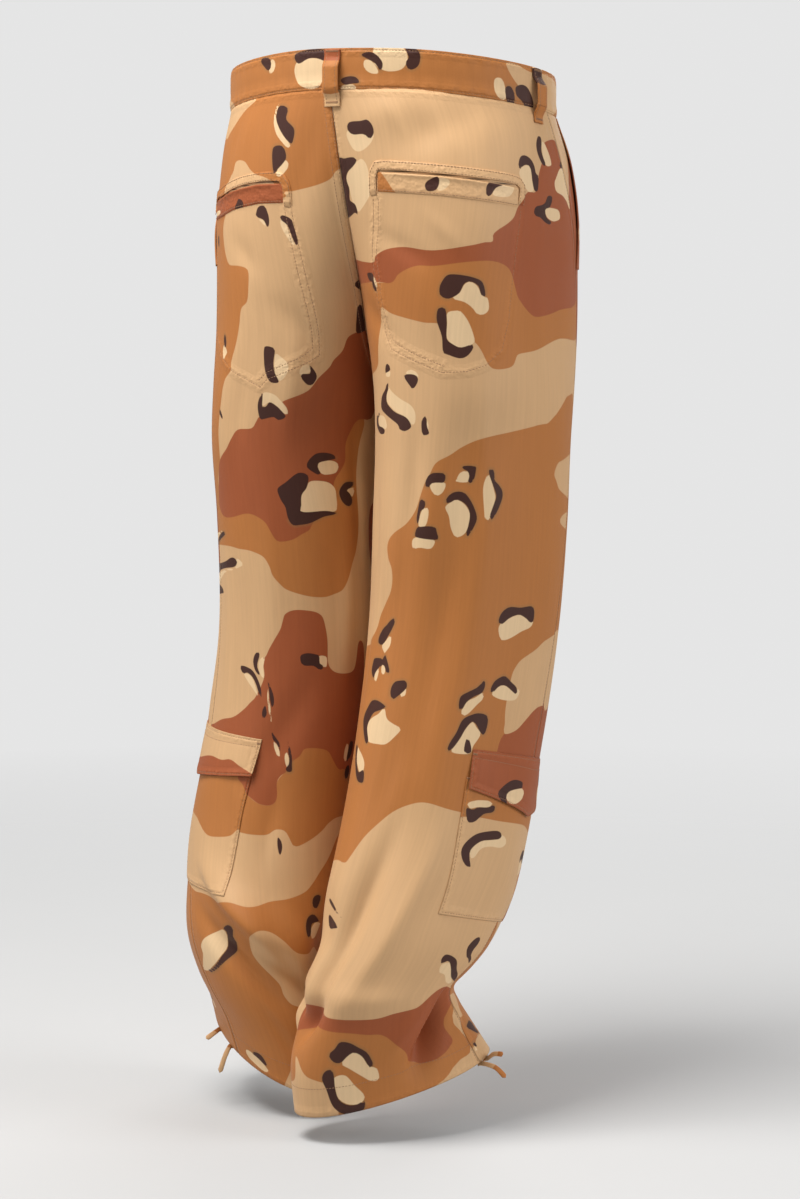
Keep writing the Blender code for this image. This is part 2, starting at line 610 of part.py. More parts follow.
def make_belt_loop(name, waist_angle, clear, material, parts):
    """A strip from the band's top, bowed out over it, to its foot below the waist seam."""
    up = np.linspace(1, 0, LOOP_STEPS)
    top, foot = BAND_HEIGHT - LOOP_TOP_IN, -LOOP_BELOW_BAND
    height = foot + (top - foot) * up
    seated = LOOP_FOOT / (top - foot)
    bow = smooth_step((up - seated) / LOOP_BEND) * smooth_step((1 - seated - up) / LOOP_BEND)
    out = 2 * SEAM_GAP + LOOP_WALL + clear * bow
    turn = LOOP_WIDTH / 2 / LOOP_ROUND
    across = np.linspace(-turn, turn, 3)
    points = waist_point(waist_angle + across[None, :], height[:, None], out[:, None])
    for i in np.flatnonzero(height < 0):
        for j in range(len(across)):
            x, y, _ = points[i, j]
            points[i, j] = under_band(x, y, WAIST_DROP - height[i], out[i])
    return sheet_object(name, points, LOOP_WALL, material, parts)


def make_button(material, parts):
    """A flat round button on the lap of the band."""
    out = BAND_WALL + 4 * SEAM_GAP + BAND_BOW
    place = waist_point(np.array(-math.pi / 2), BAND_HEIGHT / 2, out)
    bpy.ops.mesh.primitive_cylinder_add(
        vertices=28, radius=BUTTON_RADIUS, depth=BUTTON_THICKNESS,
        location=(float(place[0]), float(place[1]) - BUTTON_THICKNESS / 2, float(place[2])),
        rotation=(math.pi / 2, 0, 0),
    )
    button = bpy.context.object
    button.name = "waist_button"
    button.data.name = "waist_button"
    bevel = button.modifiers.new("edge", "BEVEL")
    bevel.width = BUTTON_EDGE
    bevel.segments = 2
    bevel.limit_method = "ANGLE"
    button.data.materials.append(material)
    for collection in list(button.users_collection):
        collection.objects.unlink(button)
    parts.objects.link(button)
    return button


# ---- hem ties ------------------------------------------------------------------------
def smooth_route(stops, steps):
    """Points evenly spread in parameter on a smooth curve through a few stops."""
    stops = np.array(stops)
    keys = np.arange(len(stops), dtype=float)
    rows = [(key, *stop) for key, stop in zip(keys, stops)]
    where = np.linspace(0, len(stops) - 1, steps)
    values = rows_at(rows, ("key", "x", "y", "z"), where)
    return np.stack([values["x"], values["y"], values["z"]], axis=-1)


def make_tie(name, stops, material, parts):
    """A round cord through the route's points, with flat closed ends."""
    curve = bpy.data.curves.new(name, "CURVE")
    curve.dimensions = "3D"
    curve.bevel_depth = TIE_DIAMETER / 2
    curve.bevel_resolution = 2
    curve.use_fill_caps = True
    spline = curve.splines.new("POLY")
    route = smooth_route(stops, TIE_STEPS)
    spline.points.add(len(route) - 1)
    spline.points.foreach_set("co", np.column_stack([route, np.ones(len(route))]).ravel())
    curve.materials.append(material)
    tie = bpy.data.objects.new(name, curve)
    parts.objects.link(tie)
    return tie


def main():
    clear_scene()
    parts = bpy.data.collections.new("cargo_trousers")
    bpy.context.scene.collection.children.link(parts)
    sand = make_material("sand_twill", SAND, TWILL_ROUGHNESS)
    brown = make_material("brown_twill", BROWN, TWILL_ROUGHNESS)
    rust = make_material("rust_twill", RUST, TWILL_ROUGHNESS)
    horn = make_material("horn_button", HORN, HORN_ROUGHNESS)

    for side in (LEFT, RIGHT):
        make_panel(side, True, sand, parts)
        make_panel(side, False, sand, parts)
        make_welt(side, rust if side == LEFT else sand, parts)
        make_pocket_mouth(side, brown, parts)
        make_cargo_pocket(side, sand, parts)
        make_cargo_flap(side, sand if side == LEFT else rust, parts)
    make_fly(brown, parts)
    make_waistband(brown, parts)
    for name, (degrees, clear) in LOOP_ROWS.items():
        make_belt_loop(name, math.radians(degrees), clear, brown, parts)
    make_button(horn, parts)
    for name, stops in TIE_ROWS.items():
        make_tie(name, stops, sand, parts)


main()
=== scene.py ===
# %% [markdown]
# # Desert camouflage cargo trousers
#
# A pair of wide-leg trousers keeps the hollow shape it has when worn. The packed
# CAD model gives the frame: where each sewn piece is and how large it may be. This
# lesson dresses that frame. Every panel is drawn again as a fine sheet of cloth on
# the same form, then printed, creased, stitched and lit.

# %% Load the frame
import json
import math

import bpy
import numpy as np
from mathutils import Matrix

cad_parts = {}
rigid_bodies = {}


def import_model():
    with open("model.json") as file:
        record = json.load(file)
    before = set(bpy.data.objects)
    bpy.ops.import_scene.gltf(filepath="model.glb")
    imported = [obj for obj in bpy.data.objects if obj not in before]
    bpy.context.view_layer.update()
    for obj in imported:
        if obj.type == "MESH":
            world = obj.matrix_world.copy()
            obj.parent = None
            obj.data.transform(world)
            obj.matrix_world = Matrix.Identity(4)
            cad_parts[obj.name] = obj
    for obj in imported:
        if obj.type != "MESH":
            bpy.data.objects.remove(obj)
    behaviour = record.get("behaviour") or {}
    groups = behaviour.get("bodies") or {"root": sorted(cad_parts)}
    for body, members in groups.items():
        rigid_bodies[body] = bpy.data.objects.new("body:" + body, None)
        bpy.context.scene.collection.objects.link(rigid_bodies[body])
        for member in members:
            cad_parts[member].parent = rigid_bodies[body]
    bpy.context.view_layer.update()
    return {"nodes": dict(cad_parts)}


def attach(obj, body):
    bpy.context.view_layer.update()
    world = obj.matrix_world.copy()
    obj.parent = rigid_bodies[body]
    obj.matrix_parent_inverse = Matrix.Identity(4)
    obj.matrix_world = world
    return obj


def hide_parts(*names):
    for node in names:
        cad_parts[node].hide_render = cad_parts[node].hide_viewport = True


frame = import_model()
print("frame nodes:", len(frame["nodes"]))

# %% [markdown]
# ## Camera
#
# The trousers are seen from behind, turned a little to the wearer's right, with a
# long lens that hardly narrows the legs towards the hems. A long lens far away was
# chosen over a near wide one, because it keeps the widths of both legs comparable.

# %% Camera
CAMERA_PLACE = (-1.6405, 3.2045, -0.1656)
CAMERA_TURN = (84.5, 0.0, 207.0)
CAMERA_LENS = 108.09

camera_data = bpy.data.cameras.new("camera")
camera_data.lens = CAMERA_LENS
camera_data.sensor_width = 36.0
camera = bpy.data.objects.new("camera", camera_data)
camera.location = CAMERA_PLACE
camera.rotation_euler = [math.radians(angle) for angle in CAMERA_TURN]
bpy.context.scene.collection.objects.link(camera)
bpy.context.scene.camera = camera
print("camera:", CAMERA_PLACE, "lens", CAMERA_LENS)

# %% [markdown]
# ## Mesh and curve helpers
#
# Every sheet is a grid of points worked out with numpy. The helper turns the grid
# into quads, stores the chart of the cloth as a UV map in metres and each mark on
# the cloth as a number per vertex. A cloth simulation could drape such a grid, but
# the legs have a definite hang, so the form is measured and the folds are placed.

# %% Helpers for tables, grids and meshes
LEFT = 1
RIGHT = -1
ROOT = "root"


def rows_at(rows, columns, where):
    """Smooth values of a table's columns: cubic steps through its rows, with shared slopes."""
    table = np.array(rows, float)
    keys, values = table[:, 0], table[:, 1:]
    gaps = np.diff(keys)[:, None]
    steps = np.diff(values, axis=0) / gaps
    slopes = np.empty_like(values)
    slopes[0], slopes[-1] = steps[0], steps[-1]
    slopes[1:-1] = (steps[:-1] * gaps[1:] + steps[1:] * gaps[:-1]) / (gaps[1:] + gaps[:-1])
    where = np.asarray(where, float)
    flat = where.ravel()
    low = np.clip(np.searchsorted(keys, flat, side="right") - 1, 0, len(keys) - 2)
    gap = gaps[low]
    t = (flat[:, None] - keys[low][:, None]) / gap
    result = (
        values[low] * (2 * t**3 - 3 * t**2 + 1)
        + slopes[low] * gap * (t**3 - 2 * t**2 + t)
        + values[low + 1] * (3 * t**2 - 2 * t**3)
        + slopes[low + 1] * gap * (t**3 - t**2)
    )
    return {name: result[:, i].reshape(where.shape) for i, name in enumerate(columns[1:])}


def smooth_step(value):
    """0 below 0, 1 above 1, and a soft S between: v times v times (3 - 2 v)."""
    value = np.clip(value, 0, 1)
    return value * value * (3 - 2 * value)


def bell(distance, spread):
    """1 in the middle and soft towards 0: e to the minus (distance / spread) squared."""
    return np.exp(-((distance / spread) ** 2))


def unit(vectors):
    """Vectors divided by their own length."""
    return vectors / np.linalg.norm(vectors, axis=-1, keepdims=True)


def lengths_along(points):
    """Distance of each point along a line of points: the running sum of its steps, from 0."""
    steps = np.linalg.norm(np.diff(points, axis=0), axis=1)
    return np.concatenate([[0], np.cumsum(steps)])


def sample(values, row_place, column_place):
    """Values of a grid at fractional rows and columns: shares of the four nearest corners."""
    row = np.clip(row_place.astype(int), 0, values.shape[0] - 2)
    column = np.clip(column_place.astype(int), 0, values.shape[1] - 2)
    down = (row_place - row)[..., None]
    along = (column_place - column)[..., None]
    upper = values[row, column] * (1 - along) + values[row, column + 1] * along
    lower = values[row + 1, column] * (1 - along) + values[row + 1, column + 1] * along
    return upper * (1 - down) + lower * down


def grid_normals(points, outside):
    """Unit normals of a grid, the cross product of its two slopes; outside is +1 or -1."""
    down = np.gradient(points, axis=0)
    along = np.gradient(points, axis=1)
    return unit(np.cross(down, along)) * outside


def grid_mesh(name, points, chart=None, marks=None, closed=False):
    """Mesh of a grid (rows, columns, xyz): one quad between each four neighbours."""
    rows, columns = points.shape[:2]
    index = np.arange(rows * columns).reshape(rows, columns)
    if closed:
        index = np.column_stack([index, index[:, :1]])
    corners = [index[:-1, :-1], index[1:, :-1], index[1:, 1:], index[:-1, 1:]]
    quads = np.stack(corners, axis=-1).reshape(-1, 4)
    return quad_mesh(name, points.reshape(-1, 3), quads, chart, marks)


def quad_mesh(name, points, quads, chart=None, marks=None):
    """Mesh of points (n, 3) and quads (m, 4), with the chart as UV map and marks per vertex."""
    mesh = bpy.data.meshes.new(name)
    mesh.vertices.add(len(points))
    mesh.vertices.foreach_set("co", points.astype(np.float32).ravel())
    mesh.loops.add(quads.size)
    mesh.loops.foreach_set("vertex_index", quads.astype(np.int32).ravel())
    mesh.polygons.add(len(quads))
    mesh.polygons.foreach_set("loop_start", np.arange(0, quads.size, 4, dtype=np.int32))
    mesh.update(calc_edges=True)
    mesh.validate()
    mesh.shade_smooth()
    if chart is not None:
        layer = mesh.uv_layers.new(name="chart")
        layer.uv.foreach_set("vector", chart.reshape(-1, 2)[quads.ravel()].astype(np.float32).ravel())
    for mark, values in (marks or {}).items():
        spread = np.broadcast_to(values, (len(points),)) if np.ndim(values) == 0 else np.ravel(values)
        attribute = mesh.attributes.new(mark, "FLOAT", "POINT")
        attribute.data.foreach_set("value", spread.astype(np.float32))
    return mesh


def show(name, mesh, *materials):
    """An object at the origin for a finished mesh; it rides on the one body."""
    for material in materials:
        mesh.materials.append(material)
    piece = bpy.data.objects.new(name, mesh)
    bpy.context.scene.collection.objects.link(piece)
    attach(piece, ROOT)
    return piece


def give_wall(piece, wall):
    """A wall grown to the inside of the drawn face; its inner face takes the second material."""
    solidify = piece.modifiers.new("wall", "SOLIDIFY")
    solidify.thickness = wall
    solidify.offset = -1.0
    solidify.material_offset = 1
    return piece


def facing_out(grid, outside):
    """Reverse the columns where that is needed for the faces to look outwards."""
    return grid if outside > 0 else grid[:, ::-1]


# %% [markdown]
# ## Hem ties
#
# A cord run through each hem comes out at the outside of the ankle as two short
# flat ends of the same cloth, folded and stitched. Each end follows a few listed
# stops, the same as in the frame. A flat strip is swept along that route: a
# round cord would be quicker, but the real one is a folded band of twill.

# %% Routes of the hem ties
TIE_WIDTH = 0.0050
TIE_THICKNESS = 0.0017
TIE_FACING = (-0.40, 0.80, 0.45)
TIE_RING = 16
TIE_ROUTE_STEPS = 20
TIE_CORNERS = 4
TIE_START = 0.02
TIE_END = 0.025
TIE_FOLDED_FROM = 0.80
TIE_FOLD_STEP = 0.04
TIE_FOLD_RISE = 0.45
TIE_DENTS = ((0.45, 0.08, 0.10), (0.70, 0.05, 0.06))  # place, spread and depth, in shares
TIE_ROWS = {
    "hem_tie_left_a": (
        (0.1581, 0.0684, -0.9525), (0.1624, 0.0717, -0.9533),
        (0.1606, 0.0855, -0.9541), (0.1651, 0.0940, -0.9591),
    ),
    "hem_tie_left_b": (
        (0.1322, 0.0943, -0.9630), (0.1352, 0.0975, -0.9630),
        (0.1363, 0.1057, -0.9714), (0.1415, 0.1080, -0.9889),
    ),
    "hem_tie_right_a": (
        (-0.1315, 0.0647, -0.9546), (-0.1377, 0.0650, -0.9535),
        (-0.1500, 0.0761, -0.9459), (-0.1612, 0.0792, -0.9445),
    ),
    "hem_tie_right_b": (
        (-0.1323, 0.0771, -0.9572), (-0.1384, 0.0784, -0.9560),
        (-0.1555, 0.0845, -0.9572), (-0.1668, 0.0850, -0.9660),
    ),
}


def smooth_route(stops, steps):
    """Points evenly spread in parameter on a smooth curve through a few stops."""
    stops = np.array(stops)
    rows = np.column_stack([np.arange(len(stops)), stops])
    values = rows_at(rows, ("key", "x", "y", "z"), np.linspace(0, len(stops) - 1, steps))
    return np.stack([values["x"], values["y"], values["z"]], axis=-1)


def flat_strip(route):
    """A flat band along a route: at each stop a ring |x/width|^4 + |y/thickness|^4 = 1.

    The band's flat side faces up and out from the ankle, it thickens a little over its
    last fifth, where the end is folded back, and both ends close to a point.
    """
    ahead = unit(np.gradient(route, axis=0))
    flat_way = unit(np.cross(ahead, np.array(TIE_FACING)))
    thick_way = np.cross(flat_way, ahead)
    turn = np.linspace(0, 2 * math.pi, TIE_RING, endpoint=False)
    cosine, sine = np.cos(turn), np.sin(turn)
    radius = (np.abs(cosine) ** TIE_CORNERS + np.abs(sine) ** TIE_CORNERS) ** (-1 / TIE_CORNERS)
    share = np.linspace(0, 1, len(route))
    close = smooth_step((1 - share) / TIE_END) * smooth_step(share / TIE_START)
    folded = smooth_step((share - TIE_FOLDED_FROM) / TIE_FOLD_STEP)
    thick = TIE_THICKNESS / 2 * (1 + TIE_FOLD_RISE * folded)
    crumple = 1 - sum(depth * bell(share - place, spread) for place, spread, depth in TIE_DENTS)
    across = (TIE_WIDTH / 2 * crumple * close)[:, None] * radius * cosine
    out = (thick * close)[:, None] * radius * sine
    return route[:, None] + flat_way[:, None] * across[..., None] + thick_way[:, None] * out[..., None]


tie_routes = {name: smooth_route(stops, TIE_ROUTE_STEPS) for name, stops in TIE_ROWS.items()}
for name, route in tie_routes.items():
    print(name, "length, mm:", round(1000 * lengths_along(route)[-1], 1))

# %% [markdown]
# ## The form of the legs
#
# A pattern cutter thinks of trousers as two tubes that meet at the middle. Each
# row of the tables is one section of a tube: where its centre is, how wide and deep
# it is, how full its corners are and how it is turned and tilted. Above the crotch
# both tubes stop at the middle plane, which gives the centre seams. Lofting by hand
# between drawn rings would do too, but a table is easier to correct.

# %% Section tables
WAIST_DROP = 0.0205
CROTCH_DROP = 0.300
HEM_DROP = 0.970
SEAM_GAP = 0.0003
HALF_GAP = SEAM_GAP / 2
HALF_SIDE_GAP = 0.0003
SECTION_COLUMNS = (
    "drop", "out", "back", "wide", "front", "rear", "front_square", "rear_square",
    "turn", "tilt", "roll", "sway",
)
SEAT_ROWS = (
    (WAIST_DROP, 0.0000, 0.000, 0.1680, 0.121, 0.133, 2.0, 2.0, 0, 0.09, 0, 0.000),
    (0.050, 0.0250, -0.002, 0.1465, 0.123, 0.136, 2.2, 2.1, 0, 0.08, 0, -0.004),
    (0.090, 0.0480, -0.003, 0.1265, 0.125, 0.138, 2.5, 2.2, 0, 0.06, 0, -0.008),
    (0.135, 0.0650, -0.004, 0.1110, 0.126, 0.138, 2.7, 2.3, 0, 0.04, 0, -0.010),
    (0.190, 0.0770, -0.004, 0.0985, 0.126, 0.136, 2.7, 2.3, 0, 0.02, 0, -0.010),
    (0.240, 0.0835, -0.003, 0.0940, 0.125, 0.132, 2.5, 2.3, 0, 0.01, 0, -0.009),
    (CROTCH_DROP, 0.0905, 0.002, 0.0905, 0.122, 0.125, 2.2, 2.2, 0, 0.00, 0, -0.005),
)
RIGHT_ROWS = SEAT_ROWS + (
    (0.345, 0.0920, 0.004, 0.0885, 0.119, 0.121, 2.1, 2.1, 0, 0.02, 0, 0),
    (0.430, 0.0905, 0.008, 0.0880, 0.115, 0.116, 2.1, 2.1, 2, 0.06, 0, 0),
    (0.530, 0.0880, 0.017, 0.0855, 0.111, 0.110, 2.1, 2.1, 4, 0.12, 0, 0),
    (0.630, 0.0835, 0.035, 0.0825, 0.105, 0.106, 2.1, 2.1, 7, 0.18, 0, 0),
    (0.720, 0.0780, 0.056, 0.0815, 0.102, 0.103, 2.1, 2.1, 10, 0.21, 0, 0),
    (0.790, 0.0730, 0.080, 0.0790, 0.096, 0.101, 2.1, 2.1, 16, 0.18, 0, 0),
    (0.835, 0.0675, 0.104, 0.0750, 0.083, 0.094, 2.1, 2.1, 23, 0.10, 0, 0),
    (0.872, 0.0560, 0.123, 0.0705, 0.060, 0.088, 2.1, 2.1, 30, -0.01, 0, 0),
    (0.900, 0.0545, 0.125, 0.0660, 0.074, 0.091, 2.1, 2.1, 34, -0.09, 0, 0),
    (0.930, 0.0565, 0.121, 0.0610, 0.085, 0.101, 2.1, 2.1, 36, -0.17, 0, 0),
    (HEM_DROP, 0.0625, 0.113, 0.0580, 0.096, 0.107, 2.1, 2.1, 38, -0.25, -0.04, 0),
)
LEFT_ROWS = SEAT_ROWS + (
    (0.345, 0.0925, 0.003, 0.0890, 0.119, 0.121, 2.1, 2.1, 0, 0.01, 0, 0),
    (0.430, 0.0930, 0.002, 0.0875, 0.115, 0.115, 2.1, 2.1, 4, 0.02, 0, 0),
    (0.530, 0.0940, 0.003, 0.0865, 0.112, 0.110, 2.1, 2.1, 8, 0.04, 0, 0),
    (0.630, 0.1000, 0.012, 0.0870, 0.107, 0.106, 2.1, 2.1, 13, 0.07, 0, 0),
    (0.720, 0.1090, 0.026, 0.0880, 0.103, 0.103, 2.1, 2.1, 18, 0.09, 0, 0),
    (0.790, 0.1140, 0.042, 0.0870, 0.101, 0.103, 2.1, 2.1, 25, 0.06, 0, 0),
    (0.850, 0.1145, 0.054, 0.0820, 0.100, 0.104, 2.1, 2.1, 33, -0.03, 0.00, 0),
    (0.895, 0.1110, 0.053, 0.0740, 0.102, 0.105, 2.1, 2.1, 40, -0.13, 0.06, 0),
    (0.930, 0.1070, 0.049, 0.0660, 0.105, 0.106, 2.1, 2.1, 45, -0.20, 0.14, 0),
    (HEM_DROP, 0.1040, 0.046, 0.0600, 0.108, 0.107, 2.1, 2.1, 48, -0.26, 0.22, 0),
)
SWAY_DEPTH = 0.12
WAIST_DIP = 0.0095
DIP_CENTRE = 102.0
DIP_CALM = 14.0
DIP_SPAN = 85.0
DIP_FADE = 0.060
SEAM_COLUMNS = ("drop", "left_side", "right_side", "left_inner", "right_inner")
SEAM_ROWS = (
    (WAIST_DROP, 0, 0, 180, 180),
    (0.060, 8, -6, 180, 180),
    (0.115, 24, -17, 180, 180),
    (0.180, 37, -26, 180, 180),
    (CROTCH_DROP, 42, -29, 180, 180),
    (0.450, 40, -25, 188, 179),
    (0.600, 35, -20, 194, 178),
    (0.700, 29, -21, 195, 176),
    (0.800, 22, -31, 195, 172),
    (HEM_DROP, 18, -46, 194, 170),
)

# %% [markdown]
# ## Folds and creases
#
# Cloth that hangs makes few large folds and many small ones. Each is one row: where
# its middle is, how it leans, how long and wide it is, and how far it stands out or
# falls in. A few rows also say how the fold bends and how much steeper its one side
# is. The first table is the frame's own; the second holds the finer creases that
# only the cloth shows.

# %% Fold tables
FOLD_ROUND = 0.105
FOLD_COLUMNS = ("side", "angle", "drop", "lean", "reach", "spread", "height", "bend", "steep")
FOLD_PLAIN = {"bend": 0, "steep": 1}
FOLD_ROWS = (
    (LEFT, 20, 0.165, 0, 0.150, 0.045, 0.0048),
    (LEFT, 8, 0.625, 0, 0.090, 0.040, 0.0040),
    (RIGHT, -36, 0.750, 0, 0.150, 0.045, -0.0036),
    (RIGHT, 75, 0.400, 4, 0.150, 0.022, 0.0040),
    (RIGHT, 108, 0.560, -8, 0.120, 0.016, -0.0030),
    (RIGHT, 118, 0.885, 76, 0.075, 0.013, -0.0065),
    (RIGHT, 100, 0.845, 84, 0.070, 0.020, 0.0045),
    (RIGHT, -60, 0.862, 82, 0.085, 0.018, 0.0060),
    (RIGHT, -70, 0.560, 58, 0.080, 0.016, -0.0035),
    (RIGHT, -100, 0.350, 62, 0.085, 0.014, -0.0035),
    (LEFT, 128, 0.850, 52, 0.095, 0.015, -0.0075),
    (LEFT, 138, 0.895, 40, 0.060, 0.020, 0.0060),
    (LEFT, 165, 0.440, 3, 0.130, 0.012, -0.0045),
    (LEFT, 100, 0.640, 30, 0.090, 0.018, -0.0030),
    (LEFT, -60, 0.840, -70, 0.090, 0.018, 0.0060),
    (LEFT, -80, 0.575, -58, 0.080, 0.016, -0.0035),
    (LEFT, -98, 0.360, -60, 0.085, 0.014, -0.0035),
)
CREASE_ROWS = (
    # across the seat and under the pockets
    (RIGHT, 61, 0.058, -60, 0.075, 0.014, -0.0032),
    (RIGHT, 74, 0.040, -62, 0.060, 0.012, 0.0020),
    (RIGHT, 92, 0.165, 62, 0.050, 0.010, -0.0020),
    (RIGHT, 68, 0.150, 40, 0.034, 0.008, 0.0014),
    (RIGHT, 118, 0.235, 48, 0.060, 0.012, -0.0026, 3, 1),
    (RIGHT, 84, 0.215, 14, 0.060, 0.016, 0.0022),
    (LEFT, 70, 0.170, -50, 0.040, 0.010, -0.0020),
    (LEFT, 112, 0.240, -46, 0.060, 0.012, -0.0026, -3, 1),
    (LEFT, 96, 0.090, -12, 0.060, 0.012, -0.0018),
    # gathers below the waistband
    (RIGHT, 74, 0.052, 3, 0.036, 0.0050, 0.0008),
    (RIGHT, 66, 0.060, -2, 0.044, 0.0060, -0.0009),
    (RIGHT, 58, 0.056, 5, 0.038, 0.0055, 0.0009),
    (RIGHT, 49, 0.062, 2, 0.040, 0.0060, -0.0009),
    (RIGHT, 40, 0.055, -4, 0.034, 0.0050, 0.0008),
    (LEFT, 60, 0.056, -3, 0.036, 0.0055, 0.0008),
    (LEFT, 50, 0.062, 4, 0.040, 0.0060, -0.0009),
    # long soft lines down the right leg
    (RIGHT, 67, 0.520, 0, 0.230, 0.021, -0.0070),
    (RIGHT, 104, 0.500, 3, 0.150, 0.013, 0.0034),
    (RIGHT, 128, 0.440, 4, 0.130, 0.010, -0.0022),
    (RIGHT, 132, 0.560, 3, 0.120, 0.009, -0.0024),
    (RIGHT, 52, 0.345, 3, 0.080, 0.010, 0.0026),
    (RIGHT, 92, 0.385, 4, 0.070, 0.012, -0.0028),
    (LEFT, 112, 0.300, -4, 0.090, 0.012, 0.0026),
    (LEFT, 78, 0.330, 2, 0.100, 0.014, -0.0024),
    (RIGHT, 44, 0.440, -4, 0.140, 0.014, 0.0022),
    (RIGHT, 86, 0.700, -6, 0.100, 0.016, -0.0026),
    (RIGHT, 58, 0.640, 8, 0.090, 0.014, 0.0022),
    # calf and ankle of the right leg
    (RIGHT, 98, 0.838, 48, 0.075, 0.017, -0.0066),
    (RIGHT, 46, 0.877, 88, 0.110, 0.013, 0.0042, 0, 0.8),
    (RIGHT, 90, 0.896, -70, 0.060, 0.014, -0.0150),
    (RIGHT, 78, 0.812, -8, 0.130, 0.020, -0.0135),
    (RIGHT, 48, 0.815, -6, 0.110, 0.015, 0.0065),
    (RIGHT, 120, 0.845, 90, 0.070, 0.024, -0.0085),
    (RIGHT, 126, 0.899, 90, 0.036, 0.012, 0.0036),
    (RIGHT, -11, 0.914, -41, 0.060, 0.0060, -0.0260, 0, 2.8),
    (RIGHT, 6, 0.905, -41, 0.050, 0.011, 0.0050),
    (RIGHT, 116, 0.895, -30, 0.060, 0.010, -0.0040),
    (RIGHT, -40, 0.915, -30, 0.034, 0.007, 0.0030),
    # the left leg
    (LEFT, 76, 0.829, -50, 0.100, 0.022, 0.0200, 0, 0.42),
    (LEFT, 60, 0.856, -50, 0.085, 0.013, -0.0100),
    (LEFT, 97, 0.864, -48, 0.050, 0.011, -0.0130),
    (LEFT, 108, 0.836, -44, 0.050, 0.013, 0.0040),
    (LEFT, 70, 0.915, -30, 0.045, 0.010, -0.0022),
    (LEFT, 152, 0.400, 2, 0.110, 0.007, -0.0026),
    (LEFT, 140, 0.520, 4, 0.130, 0.010, 0.0024),
    (LEFT, 66, 0.560, -4, 0.140, 0.014, -0.0024),
    (LEFT, 92, 0.480, 3, 0.160, 0.016, 0.0022),
    (LEFT, 92, 0.740, 12, 0.070, 0.012, -0.0022),
    (LEFT, 74, 0.725, -20, 0.050, 0.010, 0.0018),
    # whiskers at the front of the hips and folds over the shins
    (RIGHT, -84, 0.225, 60, 0.070, 0.008, -0.0020),
    (RIGHT, -100, 0.262, 54, 0.070, 0.008, 0.0018),
    (RIGHT, -92, 0.300, 66, 0.070, 0.009, -0.0020),
    (LEFT, -84, 0.230, -60, 0.070, 0.008, -0.0020),
    (LEFT, -100, 0.268, -54, 0.070, 0.008, 0.0018),
    (LEFT, -92, 0.305, -66, 0.070, 0.009, -0.0020),
    (RIGHT, -86, 0.640, 4, 0.140, 0.012, 0.0026),
    (LEFT, -88, 0.650, -4, 0.140, 0.012, 0.0026),
    (RIGHT, -92, 0.905, 78, 0.060, 0.009, -0.0034),
    (LEFT, -86, 0.885, -74, 0.060, 0.009, -0.0034),
    (RIGHT, -120, 0.830, 60, 0.060, 0.009, -0.0026),
    (LEFT, -120, 0.820, -60, 0.060, 0.009, -0.0026),
)
SEAM_CALM = 0.018

# %% Functions of the form


def sections(side, drop):
    """The section table's columns at a drop."""
    return rows_at(LEFT_ROWS if side == LEFT else RIGHT_ROWS, SECTION_COLUMNS, drop)


def side_name(side):
    return "left" if side == LEFT else "right"


def panel_name(side, rear):
    return f"{'back' if rear else 'front'}_{side_name(side)}"


def side_seam(side, drop):
    """Angle of the side seam, radians."""
    return np.radians(rows_at(SEAM_ROWS, SEAM_COLUMNS, drop)[f"{side_name(side)}_side"])


def inner_edge(side, drop, rear):
    """Angle where a panel ends: on the middle plane above the crotch, at the inside seam below.

    A rounded section |x/wide|^n + |y/depth|^n = 1 whose centre is `out` from the middle
    plane crosses it at x = -out, so y/depth = (1 - (out/wide)^n)^(1/n).
    """
    row = sections(side, drop)
    power = row["rear_square"] if rear else row["front_square"]
    reach = np.clip((row["out"] - HALF_GAP) / row["wide"], 0, 1)
    crossing = np.arctan2((1 - reach**power) ** (1 / power), -reach)
    inner = rows_at(SEAM_ROWS, SEAM_COLUMNS, drop)[f"{side_name(side)}_inner"]
    seam = np.radians(inner) - (0 if rear else 2 * math.pi)
    half_gap = HALF_GAP / row["wide"]
    if rear:
        return np.where(drop < CROTCH_DROP, np.minimum(crossing, math.pi - half_gap), seam - half_gap)
    return np.where(drop < CROTCH_DROP, np.maximum(-crossing, half_gap - math.pi), seam + half_gap)


def waist_dip(x, y, drop):
    """How far a place is drawn down, because the waist hangs lower towards the front:
    the dip times a soft step of its direction and a soft fade down the hips."""
    turned = np.abs((np.degrees(np.arctan2(y, x)) - DIP_CENTRE + 180) % 360 - 180)
    fade = 1 - smooth_step((drop - WAIST_DROP) / DIP_FADE)
    return WAIST_DIP * smooth_step((turned - DIP_CALM) / DIP_SPAN) * fade


def bare_point(side, drop, angle):
    """Point of a leg's smooth tube: a rounded section, turned, tilted and moved to its centre."""
    row = sections(side, drop)
    cosine, sine = np.cos(angle), np.sin(angle)
    power = np.where(sine > 0, row["rear_square"], row["front_square"])
    radius = (np.abs(cosine) ** power + np.abs(sine) ** power) ** (-1 / power)
    across = row["wide"] * radius * cosine
    depth = np.where(sine > 0, row["rear"], row["front"]) * radius * sine
    turn = np.radians(row["turn"])
    y = row["back"] + across * np.sin(turn) + depth * np.cos(turn)
    x = side * (row["out"] + across * np.cos(turn) - depth * np.sin(turn))
    x = x + row["sway"] * smooth_step(y / SWAY_DEPTH)
    z = row["tilt"] * depth + row["roll"] * across - drop - waist_dip(x, y, drop)
    return np.stack([x, y, z], axis=-1)


def outward(side, drop, angle):
    """Unit normal of the bare tube, from its slopes along both parameters."""
    step = 1e-4
    along = bare_point(side, drop + step, angle) - bare_point(side, drop - step, angle)
    around = bare_point(side, drop, angle + step) - bare_point(side, drop, angle - step)
    return unit(np.cross(around, along)) * -side


